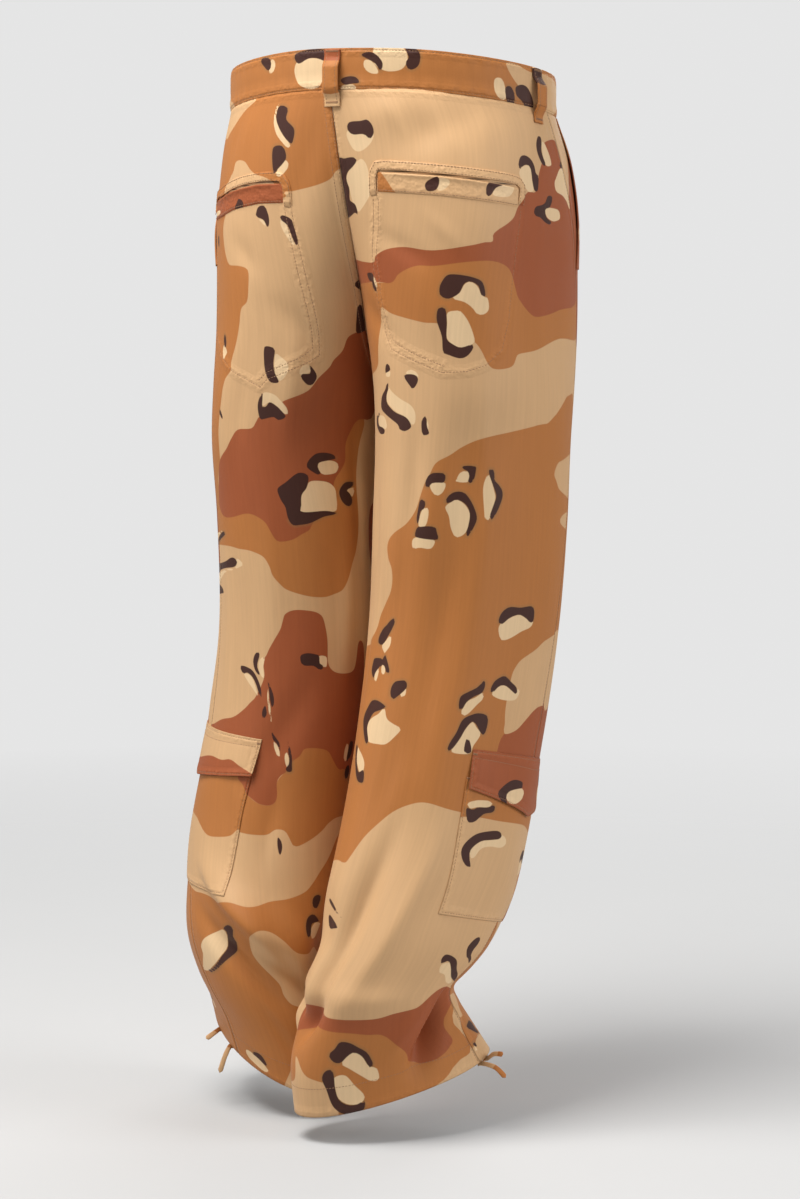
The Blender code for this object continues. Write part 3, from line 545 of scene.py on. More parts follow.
def fold_height(side, drop, angle):
    """Sum of the folds at a place: each is a bell across and a rounded bar along.

    The bar bends by bend times its length squared, and `steep` narrows its upper side.
    """
    total = np.zeros(np.broadcast(drop, angle).shape)
    for row in FOLD_ROWS + CREASE_ROWS:
        fold = FOLD_PLAIN | dict(zip(FOLD_COLUMNS, row))
        if fold["side"] != side:
            continue
        turned = (angle - math.radians(fold["angle"]) + math.pi) % (2 * math.pi) - math.pi
        sideways = turned * FOLD_ROUND
        down = drop - fold["drop"]
        lean = math.radians(fold["lean"])
        along = down * math.cos(lean) - sideways * math.sin(lean)
        across = down * math.sin(lean) + sideways * math.cos(lean) - fold["bend"] * along**2
        spread = np.where(across < 0, fold["spread"] * fold["steep"], fold["spread"])
        taper = smooth_step(1 - np.abs(along) / fold["reach"])
        total = total + fold["height"] * taper * bell(across, spread)
    return total


def cloth_point(side, drop, angle, out=0.0):
    """Point of the folded cloth, moved out along its normal. Folds fade at the middle plane."""
    drop = np.asarray(drop, float)
    angle = np.asarray(angle, float)
    base = bare_point(side, drop, angle)
    from_middle = smooth_step(np.abs(base[..., 0]) / SEAM_CALM)
    calm = np.where(drop < CROTCH_DROP + SEAM_CALM, from_middle, 1.0)
    height = fold_height(side, drop, angle) * calm + out
    return base + outward(side, drop, angle) * np.asarray(height)[..., None]


print("sections:", len(LEFT_ROWS), len(RIGHT_ROWS), "folds:", len(FOLD_ROWS) + len(CREASE_ROWS))

# %% [markdown]
# ## The four panels as fine grids
#
# Each leg is cut as a back and a front panel. The grid of a panel has rows down the
# leg and columns from the side seam to the inner edge. The chart tells where a place
# is on the flat cloth: V is the drop below the waist in millimetres, and U is the
# distance round the leg from the crease line of the back, plus towards the outside.

# %% Panel grids
BACK_COLUMNS = 104
FRONT_COLUMNS = 78
BACK_SPACING = 0.0027
FRONT_SPACING = 0.0034
CROTCH_STRIP = 0.010
CROTCH_ROWS = 12
CROTCH_CLEAR = 0.0001
LEG_CLEAR = 0.0004
THIGH_ROW = 150
CREASE_LOW_DROP = 0.300
CREASE_AT_WAIST = 57
CREASE_DOWN_LEG = 90


def row_drops(spacing):
    """Drops of a panel's rows: even, and closer where the crotch curve turns."""
    upper = np.arange(WAIST_DROP + SEAM_GAP, CROTCH_DROP - CROTCH_STRIP, spacing)
    turn = np.linspace(0, 1, CROTCH_ROWS)
    crotch = CROTCH_DROP - CROTCH_STRIP + (CROTCH_STRIP - CROTCH_CLEAR) * (1 - (1 - turn) ** 2)
    steps = int((HEM_DROP - CROTCH_DROP) / spacing)
    lower = np.linspace(CROTCH_DROP + LEG_CLEAR, HEM_DROP, steps)
    return np.concatenate([upper, crotch, lower])


def crease_angle(drop):
    """Angle of the back crease line: 57 degrees at the waist and 90 from the crotch down."""
    share = smooth_step((drop - WAIST_DROP) / (CREASE_LOW_DROP - WAIST_DROP))
    return np.radians(CREASE_AT_WAIST + (CREASE_DOWN_LEG - CREASE_AT_WAIST) * share)


def make_panel_grid(side, rear):
    """Points, normals, chart (U, V in mm) and distance to the inner edge of one panel."""
    drops = row_drops(BACK_SPACING if rear else FRONT_SPACING)
    drop = drops[:, None]
    share = np.linspace(0, 1, BACK_COLUMNS if rear else FRONT_COLUMNS)[None, :]
    half_gap = HALF_SIDE_GAP / sections(side, drop)["wide"]
    start = side_seam(side, drop) + (half_gap if rear else -half_gap)
    end = inner_edge(side, drop, rear)
    angle = start + (end - start) * share
    points = cloth_point(side, np.broadcast_to(drop, angle.shape), angle)
    steps = np.linalg.norm(np.diff(points, axis=1), axis=-1)
    round_leg = np.concatenate([np.zeros((len(drops), 1)), np.cumsum(steps, axis=1)], axis=1) * 1000
    if rear:
        place = (crease_angle(drop) - start) / (end - start) * (share.size - 1)
        rows = np.arange(len(drops), dtype=float)[:, None]
        middle = sample(round_leg[..., None], rows, np.clip(place, 0, share.size - 1.001))[..., 0]
        u = middle - round_leg
    else:
        seam = np.interp(drops, row_drops(BACK_SPACING), panels[side, True]["u"][:, 0])
        u = seam[:, None] + round_leg
    normals = grid_normals(points, side if rear else -side)
    to_edge = round_leg[:, -1:] - round_leg
    v = 1000 * (drop + waist_dip(points[..., 0], points[..., 1], drop))
    return {"drops": drops, "points": points, "normals": normals, "u": u, "v": v, "to_edge": to_edge}


panels = {}
for side in (LEFT, RIGHT):
    for rear in (True, False):
        panels[side, rear] = make_panel_grid(side, rear)
        panel = panels[side, rear]
        print(panel_name(side, rear), "grid", panel["u"].shape,
              "girth at the thigh, mm:", round(float(np.ptp(panel["u"][THIGH_ROW]))))

# %% [markdown]
# ## The print, charted
#
# The cloth is a six-colour desert camouflage, a common military pattern: large soft
# fields of brown and rust on sand, and scattered pebbles, each a pale stone with a
# dark shadow. The chart is drawn in millimetres on the cloth, a few stops for each
# outline, and a smooth closed curve goes through them. A noise texture could
# scatter blotches with less work, but it can't place them.

# %% Outlines of the print
FAR_OFF = 6.0
CURVE_STEPS = 4


def smooth_outline(stops):
    """Closed curve through the stops: between two stops, half of
    2 b + (c - a) t + (2 a - 5 b + 4 c - d) t^2 + (3 b - 3 c + d - a) t^3."""
    b = np.reshape(np.array(stops, float), (-1, 1, 2))
    a, c, d = np.roll(b, 1, 0), np.roll(b, -1, 0), np.roll(b, -2, 0)
    t = (np.arange(CURVE_STEPS) / CURVE_STEPS)[None, :, None]
    curve = 2 * b + (c - a) * t + (2 * a - 5 * b + 4 * c - d) * t**2 + (3 * b - 3 * c + d - a) * t**3
    return (curve / 2).reshape(-1, 2)


def distance_into(outline, places):
    """Distance from places (n, 2) to a closed outline, plus inside and minus outside.

    The nearest point on each side of the outline is its start plus a clipped share of
    its length; a place is inside when a ray from it crosses the outline an odd number
    of times.
    """
    start, end = outline[None], np.roll(outline, -1, 0)[None]
    side = end - start
    offset = places[:, None] - start
    share = np.clip((offset * side).sum(-1) / np.maximum((side**2).sum(-1), 1e-9), 0, 1)
    gap = offset - side * share[..., None]
    nearest = np.sqrt((gap**2).sum(-1).min(1))
    above = places[:, None, 1] < start[..., 1]
    crosses = above != (places[:, None, 1] < end[..., 1])
    height = np.where(side[..., 1] == 0, 1.0, side[..., 1])
    meets = start[..., 0] + (places[:, None, 1] - start[..., 1]) * side[..., 0] / height
    inside = (crosses & (places[:, None, 0] < meets)).sum(1) % 2 == 1
    return np.where(inside, nearest, -nearest)


def paint(shapes, u, v):
    """How far each place is inside the union of the shapes, in mm, between -6 and 6."""
    places = np.column_stack([u.ravel(), v.ravel()]).astype(np.float32)
    best = np.full(len(places), -FAR_OFF, np.float32)
    for stops in shapes:
        outline = smooth_outline(stops).astype(np.float32)
        low, high = outline.min(0) - FAR_OFF, outline.max(0) + FAR_OFF
        near = np.flatnonzero(((places > low) & (places < high)).all(1))
        if near.size:
            best[near] = np.maximum(best[near], distance_into(outline, places[near]))
    return np.clip(best, -FAR_OFF, FAR_OFF).reshape(u.shape)


COLOURS = ("brown", "rust", "sand", "cream", "dark")


def printed(chart, u, v, rim, slit=-FAR_OFF):
    """The marks of a piece: one number for each colour of its chart at places u, v, the
    distance to its edge, and how far inside the painted shadow of a pocket's slit it is,
    all in mm."""
    colours = {colour: paint(chart.get(colour, ()), u, v) for colour in COLOURS}
    return colours | {"rim": rim, "slit": slit}


# %% [markdown]
# The back panels come first, because they carry the largest shapes. Brown and rust
# fields are listed in the order they are printed, then the patches of sand left
# between them, then the stones.

# %% Chart of the right back panel
RIGHT_BACK = {"brown": (
    (150,900, 170,884, 198,900, 202,950, 183,956, 165,962, 148,960, 140,930),
    (-140,197, -101,196, -46,196, -33,187, -16,180, 3,180, 34,176, 60,175, 80,182, 91,199, 98,210, 121,225,
     143,226, 182,220, 240,208, 240,249, 182,249, 132,259, 105,262, 99,264, 94,273, 84,276, 72,276, 65,271,
     51,251, 19,235, -1,233, -31,227, -42,224, -51,220, -56,221, -58,239, -61,261, -65,275, -86,282,
     -140,286),
    (240,331, 151,331, 121,334, 78,341, 60,345, 44,353, 33,361, 20,369, 14,382, 9,391, 5,402, 0,418, -9,432,
     -21,441, -29,449, -32,457, -29,468, -23,478, -21,491, -23,504, -31,516, -38,527, -43,541, -51,550,
     -63,557, -78,560, -120,566, -200,560, -200,790, -120,780, -44,771, -23,772, -16,769, -4,747, 7,733,
     19,721, 33,713, 49,709, 77,713, 126,716, 161,719, 240,724),
    (-29,907, -16,904, -2,900, 17,897, 38,900, 59,902, 91,907, 107,918, 119,928, 126,939, 142,946, 166,943,
     186,930, 200,925, 200,941, 186,946, 175,958, 149,970, 60,975, 50,965, 45,945, 33,941, 17,936, 3,925,
     -7,923, -21,918, -29,915),
    (-29,912, -20,912, -11,915, 0,929, 0,941, -16,946, -29,946),
    (-180,850, -140,836, -100,846, -84,872, -92,905, -120,925, -180,930),
), "rust": (
    (-140,174, -72,178, -65,172, -51,166, -31,164, -1,167, 34,162, 47,159, 56,158, 55,152, 60,147, 70,141,
     77,135, 81,126, 87,118, 96,110, 107,110, 113,104, 113,94, 117,84, 122,76, 120,66, 124,61, 136,57,
     147,56, 158,61, 169,68, 205,80, 240,110, 240,206, 182,221, 143,227, 121,226, 98,211, 91,200, 80,183,
     60,176, 34,177, 3,181, -16,181, -33,188, -39,195, -46,197, -57,196, -101,197, -140,199),
    (122,635, 139,630, 153,619, 167,609, 185,604, 240,600, 240,700, 150,700, 118,680, 116,650),
    (-29,889, -16,885, 0,884, 17,886, 33,890, 49,891, 82,892, 100,889, 119,887, 128,884, 140,876, 152,871,
     166,873, 180,880, 190,900, 188,930, 175,940, 158,946, 142,947, 135,944, 126,940, 119,929, 107,919,
     91,908, 77,906, 59,903, 38,901, 17,898, -2,901, -16,905, -29,908),
    (-200,640, -160,622, -128,632, -112,662, -118,704, -150,730, -200,736),
), "sand": (
    (168,381, 174,372, 187,368, 240,364, 240,405, 187,398, 174,388),
    (191,430, 196,421, 240,418, 240,438),
    (240,534, 178,540, 151,552, 130,562, 122,570, 118,580, 117,604, 118,616, 120,625, 122,635, 139,630,
     153,619, 167,609, 185,604, 240,600),
), "dark": (
    (-94,58, -90,52, -77,51, -70,50, -66,55, -66,62, -71,67, -77,63, -89,63),
    (-112,87, -104,84, -93,83, -89,86, -94,91, -103,97, -105,104, -102,111, -103,121, -95,125, -92,134,
     -97,132, -101,134, -114,133),
    (80,85, 83,78, 90,76, 99,79, 105,85, 108,92, 113,94, 113,107, 110,109, 106,108, 102,100, 100,92, 97,86,
     90,85, 84,88, 81,90),
    (113,56, 118,56, 119,61, 118,69, 122,76, 127,82, 122,83, 116,79, 110,71, 109,63),
    (159,80, 161,76, 168,75, 173,79, 175,82, 160,82),
    (108,128, 112,123, 123,121, 130,118, 134,112, 143,111, 145,115, 141,122, 133,124, 131,127, 136,133,
     147,136, 143,139, 132,137, 121,133, 112,132),
    (-81,189, -77,187, -69,188, -68,194, -75,195),
    (-69,193, -65,199, -62,204, -66,204, -70,199),
    (11,202, 12,196, 17,189, 30,189, 45,192, 52,196, 56,205, 56,209, 52,207, 48,199, 40,195, 34,197, 31,205,
     26,209, 20,211, 13,208),
    (12,224, 13,220, 18,219, 21,224, 23,236, 24,248, 30,253, 38,256, 49,253, 49,258, 44,264, 37,266, 27,263,
     21,260, 19,246, 13,232),
    (-48,280, -45,272, -40,274, -39,278, -44,280),
    (-20,283, -12,281, -5,283, -4,288, -9,295, -13,292),
    (-46,292, -43,290, -43,296, -46,302, -46,309, -40,314, -31,319, -18,323, -12,328, -10,334, -17,338,
     -24,336, -26,332, -33,328, -49,321, -57,317, -59,311, -56,303, -49,297),
    (-64,319, -62,322, -66,326, -68,329, -64,334, -56,335, -49,337, -48,340, -51,342, -60,342, -70,337,
     -75,333, -74,325, -68,323),
    (2,326, 5,322, 7,324, 8,332, 11,339, 9,341, 4,341, 2,334),
    (10,391, 12,384, 16,380, 22,379, 29,380, 30,385, 28,389, 22,389, 17,390, 13,395),
    (46,375, 47,372, 58,372, 59,375, 58,384, 55,389, 52,388, 53,382, 51,377),
    (72,377, 75,374, 78,378, 79,386, 84,391, 88,397, 88,404, 83,416, 77,425, 74,424, 78,411, 81,402, 78,393,
     75,386),
    (31,409, 34,402, 41,398, 49,399, 55,406, 60,416, 62,425, 59,434, 54,443, 52,440, 54,432, 55,420, 51,411,
     42,406, 36,409),
    (5,407, 11,409, 10,416, 7,418, 5,427, 4,432, 2,427, 3,416),
    (5,435, 21,434, 24,440, 25,447, 14,447, 2,445, 2,440),
    (92,527, 95,518, 104,512, 119,512, 135,510, 141,514, 141,524, 136,526, 128,522, 117,519, 105,523,
     97,529),
    (-16,530, -14,534, -17,542, -22,549, -29,556, -33,558, -38,556, -38,550, -33,542, -26,537),
    (-43,576, -41,572, -29,572, -28,577, -33,582, -37,587, -38,593, -41,590, -44,584),
    (-24,568, -19,572, -15,578, -12,585, -16,586, -19,582, -24,578, -28,580, -29,576),
    (-7,602, -4,595, 2,593, 8,593, 10,599, 7,604, 2,609, -2,612, -6,609),
    (-45,636, -44,629, -40,622, -34,615, -22,615, -10,620, -16,624, -26,627, -31,633, -34,641, -31,648,
     -27,656, -31,658, -39,648),
    (63,609, 64,603, 71,598, 79,593, 85,586, 87,591, 85,598, 78,602, 71,608, 67,617, 64,615),
    (94,594, 97,586, 104,581, 110,580, 119,585, 127,589, 130,593, 128,596, 121,593, 112,589, 104,590,
     97,597),
    (60,657, 61,650, 66,639, 70,626, 79,620, 87,618, 96,620, 98,629, 96,638, 91,636, 85,629, 80,627, 75,634,
     70,646, 64,656),
    (77,646, 79,643, 82,647, 85,655, 82,658, 77,656),
    (-56,661, -49,662, -48,669, -44,677, -36,687, -31,686, -26,685, -23,696, -30,697, -36,694, -43,686,
     -51,673),
    (91,709, 103,709, 110,705, 119,702, 126,704, 124,708, 114,709, 107,716, 99,719, 95,715),
    (116,697, 122,696, 128,698, 126,700, 119,699),
    (152,833, 157,826, 164,823, 169,825, 168,830, 164,835, 164,840, 171,846, 170,849, 163,844, 157,841),
    (124,842, 126,838, 134,839, 145,844, 154,853, 166,861, 171,868, 166,866, 154,861, 142,850, 134,844,
     127,846),
    (-37,803, -27,805, -16,809, -6,814, -2,816, -11,813, -32,807),
    (-31,816, -18,818, -4,823, -13,825, -23,825),
    (41,920, 46,915, 50,910, 59,911, 69,916, 79,922, 86,932, 85,936, 82,934, 75,925, 66,920, 60,922, 54,927,
     47,926),
    (36,939, 39,933, 45,932, 48,937, 49,950, 52,958, 60,963, 69,964, 76,962, 74,970, 56,970, 45,962, 40,948),
    (-130,380, -122,372, -110,374, -104,384, -110,388, -120,384),
    (-150,470, -146,460, -136,456, -130,462, -136,468, -142,476),
    (-128,590, -118,584, -108,590, -106,600, -114,598, -124,598),
), "cream": (
    (-95,60, -68,60, -70,70, -83,78, -92,75),
    (-89,87, -82,85, -77,94, -75,113, -78,121, -91,132, -99,122, -102,111, -105,102, -99,94),
    (81,92, 86,87, 94,85, 99,88, 101,98, 105,108, 96,110, 88,104, 83,98),
    (119,61, 124,61, 132,69, 136,74, 139,81, 130,83, 124,80, 120,71),
    (160,83, 175,83, 182,89, 191,121, 182,115, 169,109, 153,106, 148,98, 151,93),
    (131,127, 134,123, 153,123, 163,125, 166,132, 156,135, 147,135, 136,132),
    (-69,190, -65,193, -61,201, -65,200, -69,195),
    (24,211, 31,205, 34,198, 39,195, 47,199, 53,208, 59,210, 62,220, 58,225, 51,225, 45,219, 37,214, 29,212),
    (22,224, 30,222, 35,223, 43,232, 49,244, 50,252, 38,256, 30,253, 24,247, 23,234),
    (-47,281, -39,279, -40,284, -46,284),
    (-18,281, -13,277, -6,279, -4,284),
    (-45,292, -36,299, -23,306, -12,311, -6,319, -6,330, -12,330, -18,323, -31,318, -45,309, -46,302,
     -43,296),
    (-65,325, -58,323, -49,325, -44,334, -48,337, -56,335, -64,334),
    (7,324, 10,332, 11,340, 9,343),
    (15,392, 19,389, 30,389, 29,397, 24,402, 19,400),
    (41,385, 44,379, 50,377, 53,381, 52,388, 41,388),
    (67,395, 69,384, 71,379, 75,386, 79,398, 80,404, 77,416, 74,425, 70,425, 69,418),
    (31,414, 36,409, 42,406, 50,411, 55,420, 54,432, 51,440, 45,444, 41,443, 37,434, 35,423),
    (8,417, 14,415, 15,423, 12,434, 5,434, 5,427),
    (1,446, 21,447, 21,454, 17,457, 8,456, 0,457),
    (93,532, 101,525, 117,519, 128,522, 141,525, 136,531, 124,535, 110,542, 101,545, 96,543),
    (-32,559, -26,554, -18,548, -16,552, -17,559, -23,565, -26,566),
    (-37,584, -32,582, -32,590, -34,596, -37,593),
    (-28,580, -24,578, -19,582, -19,587, -22,588, -26,586),
    (9,600, 10,606, 8,609, 3,609, 5,606),
    (-11,622, -6,632, 3,637, 11,641, 6,649, -2,657, -11,658, -27,656, -33,646, -33,637, -27,632, -18,628),
    (67,618, 71,608, 79,603, 87,597, 87,604, 82,610, 75,619, 70,622),
    (96,597, 104,590, 112,589, 124,594, 134,590, 130,601, 114,603, 101,601),
    (81,627, 86,632, 92,638, 86,650, 83,658, 64,658, 70,646, 75,634),
    (-48,663, -41,666, -33,671, -27,678, -27,686, -33,687, -39,682, -45,675),
    (89,706, 92,701, 107,700, 118,701, 107,706, 100,708, 92,709),
    (128,847, 138,846, 147,854, 156,862, 166,869, 152,866, 140,857, 131,854),
    (60,922, 67,919, 75,925, 82,934, 90,937, 92,947, 84,947, 75,941, 63,933, 55,928),
    (48,939, 59,938, 68,948, 76,957, 75,962, 69,964, 59,962, 51,956, 49,948),
    (-120,385, -108,389, -106,400, -118,402, -126,394),
    (-140,470, -128,466, -126,478, -136,486),
)}

# %% Chart of the left back panel
LEFT_BACK = {"brown": (
    (-14,418, 34,416, 34,430, 10,431, -14,437),
    (-140,20, -10,20, 1,28, 17,36, 25,42, 34,49, 47,56, 62,60, 150,56, 150,464, 96,459, 53,458, 33,460,
     19,461, 5,465, 0,469, -4,477, -6,485, -12,493, -20,500, -40,506, -56,507, -67,504, -76,500, -83,490,
     -91,473, -99,459, -106,436, -110,391, -117,357, -124,330, -100,328, -90,360, -60,404, -20,430, 40,420,
     62,400, 55,381, 49,371, 50,339, 49,320, 48,300, 44,289, 36,281, 36,272, 30,255, 25,237, 21,222, 12,215,
     8,202, 6,188, 10,183, 21,181, 36,180, 42,174, 46,165, 49,150, 46,140, 40,133, 36,125, -45,120, -51,114,
     -60,113, -84,108, -100,102, -110,93, -140,85),
    (-140,690, -81,683, -74,682, -67,674, -60,664, -53,661, -34,661, -22,675, -18,684, -9,696, -8,716, 7,718,
     24,706, 30,695, 150,695, 150,735, 103,736, 91,740, 82,747, 73,751, 59,751, 45,753, 38,748, 31,745,
     17,747, 0,747, -9,742, -18,743, -23,750, -27,757, -34,757, -48,750, -58,743, -67,735, -83,730,
     -140,728),
    (-170,730, -95,735, -80,746, -67,769, -55,783, -46,793, -37,800, -20,805, -2,807, 12,811, 24,812, 38,809,
     49,809, 63,810, 82,805, 107,804, 180,807, 180,985, -170,985),
), "rust": (
    (-140,240, -113,242, -101,244, -91,249, -86,261, -77,270, -73,277, -63,287, -56,297, -49,302, -31,309,
     -20,318, -7,326, -4,331, 1,338, 19,340, 27,349, 35,360, 49,371, 55,381, 61,395, 66,409, 68,418, 61,426,
     51,429, 37,428, 19,424, 8,425, -3,431, -8,440, -12,448, -17,451, -29,449, -38,444, -47,439, -50,434,
     -60,420, -75,405, -81,390, -90,380, -97,370, -99,354, -106,341, -116,330, -140,322),
    (-54,530, -50,524, -42,521, -26,520, -16,524, -13,531, -10,540, -4,550, 2,560, 6,568, 10,572, 8,589,
     17,609, 24,616, 33,624, 46,632, 64,635, 84,641, 110,648, 110,690, 30,695, 24,706, 14,714, 7,718, -2,719,
     -8,716, -10,708, -9,697, -12,690, -18,685, -22,676, -30,669, -34,662, -44,661, -53,662, -60,665,
     -67,675, -74,683, -81,683, -95,690, -102,650, -103,600, -103,560, -98,552, -94,557, -91,573, -86,583,
     -72,585, -62,582, -57,573, -57,550),
    (-170,420, -140,412, -124,430, -122,470, -134,506, -170,516),
), "sand": (
    (-45,125, -38,104, -18,97, -9,92, -1,85, 10,83, 18,85, 22,93, 32,101, 40,112, 44,125, 10,132),
    (-48,848, -35,852, -21,850, -11,840, 0,833, 12,831, 21,834, 31,842, 18,860, 5,875, 4,885, -4,893,
     -30,893, -60,870),
    (14,936, 22,950, 38,985, -16,985, -12,940),
), "dark": (
    (-53,38, -41,35, -40,44, -44,52, -53,63, -61,70, -64,68, -65,57, -54,48),
    (-55,76, -51,72, -44,72, -40,76, -40,92, -42,97, -46,93, -52,88, -56,83),
    (-54,140, -53,138, -46,135, -42,136, -42,139, -48,144, -50,152, -53,162, -56,159, -55,148),
    (-29,139, -28,131, -25,126, -18,127, -14,133, -14,136, -20,138, -23,140, -25,145, -27,145),
    (-112,193, -104,198, -112,203),
    (-110,218, -105,219, -103,226, -101,242, -104,245, -112,242, -113,240),
    (-17,261, -14,258, -7,257, -5,261, -6,274, -9,284, -14,291, -21,292, -23,290, -18,282, -16,272),
    (-52,274, -54,280, -53,283, -46,283, -45,286, -48,290, -53,294, -58,293, -61,286, -58,280),
    (-34,326, -32,322, -24,315, -16,311, -13,315, -9,316, -8,307, -7,302, -4,309, -4,317, -8,328, -13,328,
     -22,326, -27,329),
    (52,246, 54,252, 50,260, 48,254),
    (66,152, 71,153, 72,160, 67,162),
    (41,329, 49,320, 50,324, 44,329),
    (-86,368, -83,364, -74,362, -65,363, -58,368, -54,374, -55,378, -62,383, -65,384, -67,382, -65,377,
     -67,372, -76,370),
    (-54,386, -49,382, -42,383, -31,391, -22,397, -21,402, -23,410, -26,416, -27,427, -31,434, -38,434,
     -49,432, -63,426, -75,424, -77,422, -65,420, -42,421, -42,414, -44,404, -50,397),
    (-107,394, -104,392, -94,392, -87,397, -84,403, -86,411, -92,416, -98,414, -100,409, -97,403, -93,400,
     -99,398),
    (57,447, 61,444, 78,450, 95,459, 95,462, 76,454),
    (38,474, 42,470, 49,470, 60,474, 78,477, 98,479, 98,489, 78,484, 60,481, 44,479),
    (70,506, 78,501, 99,500, 100,509, 78,508),
    (-48,567, -44,565, -35,564, -29,567, -30,575, -35,577, -42,577, -48,581, -52,579, -51,576, -48,574),
    (13,567, 15,564, 19,567, 21,574, 19,582, 14,588, 13,586, 16,578),
    (11,610, 12,600, 17,589, 24,582, 37,579, 39,582, 35,587, 29,586, 22,590, 17,598, 14,606),
    (5,593, 3,602, 2,611, 0,620, -2,618, -2,609, 1,600),
    (7,618, 10,625, 9,632, 5,627),
    (-17,653, -18,664, -20,676, -17,682, -18,685, -23,685, -23,679, -22,669, -19,659),
    (0,644, -2,653, -6,657, -9,664, -10,665, -9,657, -4,650),
    (-90,655, -86,655, -84,664, -83,675, -87,672, -90,664),
    (-88,680, -84,680, -82,688, -85,694, -88,688),
    (-16,759, -15,753, -12,749, -11,753, -12,762, -14,766),
    (-56,806, -53,803, -47,805, -46,812, -51,815),
    (-55,826, -48,820, -41,822, -38,830, -39,839, -44,836, -46,828, -53,827),
    (47,844, 50,841, 55,837, 56,830, 63,828, 70,832, 64,835, 64,841, 60,848, 60,853, 68,862, 82,871, 92,875,
     86,876, 73,870, 59,861, 49,853),
    (52,957, 56,950, 63,949, 73,953, 63,955, 56,958),
), "cream": (
    (-40,34, -37,35, -38,48, -44,61, -53,70, -58,74, -61,71, -53,63, -44,52, -40,44),
    (-58,87, -54,85, -49,88, -44,97, -48,100, -53,96, -57,92),
    (-46,140, -41,140, -42,148, -49,161, -52,162, -49,152),
    (-23,140, -18,138, -15,137, -18,140, -24,145),
    (-18,264, -17,272, -18,282, -23,290, -29,286, -32,278, -30,272, -25,268),
    (-52,274, -44,277, -44,284, -53,282, -54,280),
    (-36,322, -34,316, -27,309, -19,303, -8,302, -9,315, -16,311, -24,315, -32,322),
    (45,263, 53,257, 55,263, 52,271, 49,268),
    (-88,375, -84,371, -76,370, -67,372, -65,377, -68,383, -74,384, -84,382),
    (-80,407, -80,398, -74,392, -63,390, -54,391, -50,397, -44,404, -42,414, -42,421, -74,421, -79,416),
    (-106,398, -100,398, -93,399, -97,403, -99,407, -102,406, -105,402),
    (62,443, 95,448, 98,444, 98,456, 78,449),
    (29,476, 38,470, 42,479, 58,482, 78,486, 98,490, 97,500, 83,495, 64,486, 46,482),
    (-56,570, -54,567, -48,567, -47,573, -50,577, -55,578),
    (7,569, 11,570, 14,574, 14,582, 11,589, 8,590, 9,579),
    (17,602, 22,591, 29,587, 34,588, 28,595, 22,601, 17,607, 14,611),
    (5,593, 5,604, 4,618, 2,629, 0,636, 1,623, 3,609),
    (-16,665, -15,671, -17,679, -19,681, -20,676, -19,670),
    (-3,655, -4,662, -8,670, -10,669, -8,661),
    (-84,656, -80,660, -79,672, -83,674),
    (-58,829, -51,827, -45,832, -44,840, -51,839, -56,833),
    (66,835, 73,833, 82,837, 91,844, 95,853, 93,859, 100,869, 106,878, 93,876, 82,870, 68,861, 60,851,
     64,842),
    (52,962, 61,956, 75,953, 83,955, 83,961, 73,964, 59,966),
)}

# %% [markdown]
# The front panels are cut from the same cloth. Their fields are drawn the same way,
# and their stones are set from four stone shapes, each moved, turned and sized.

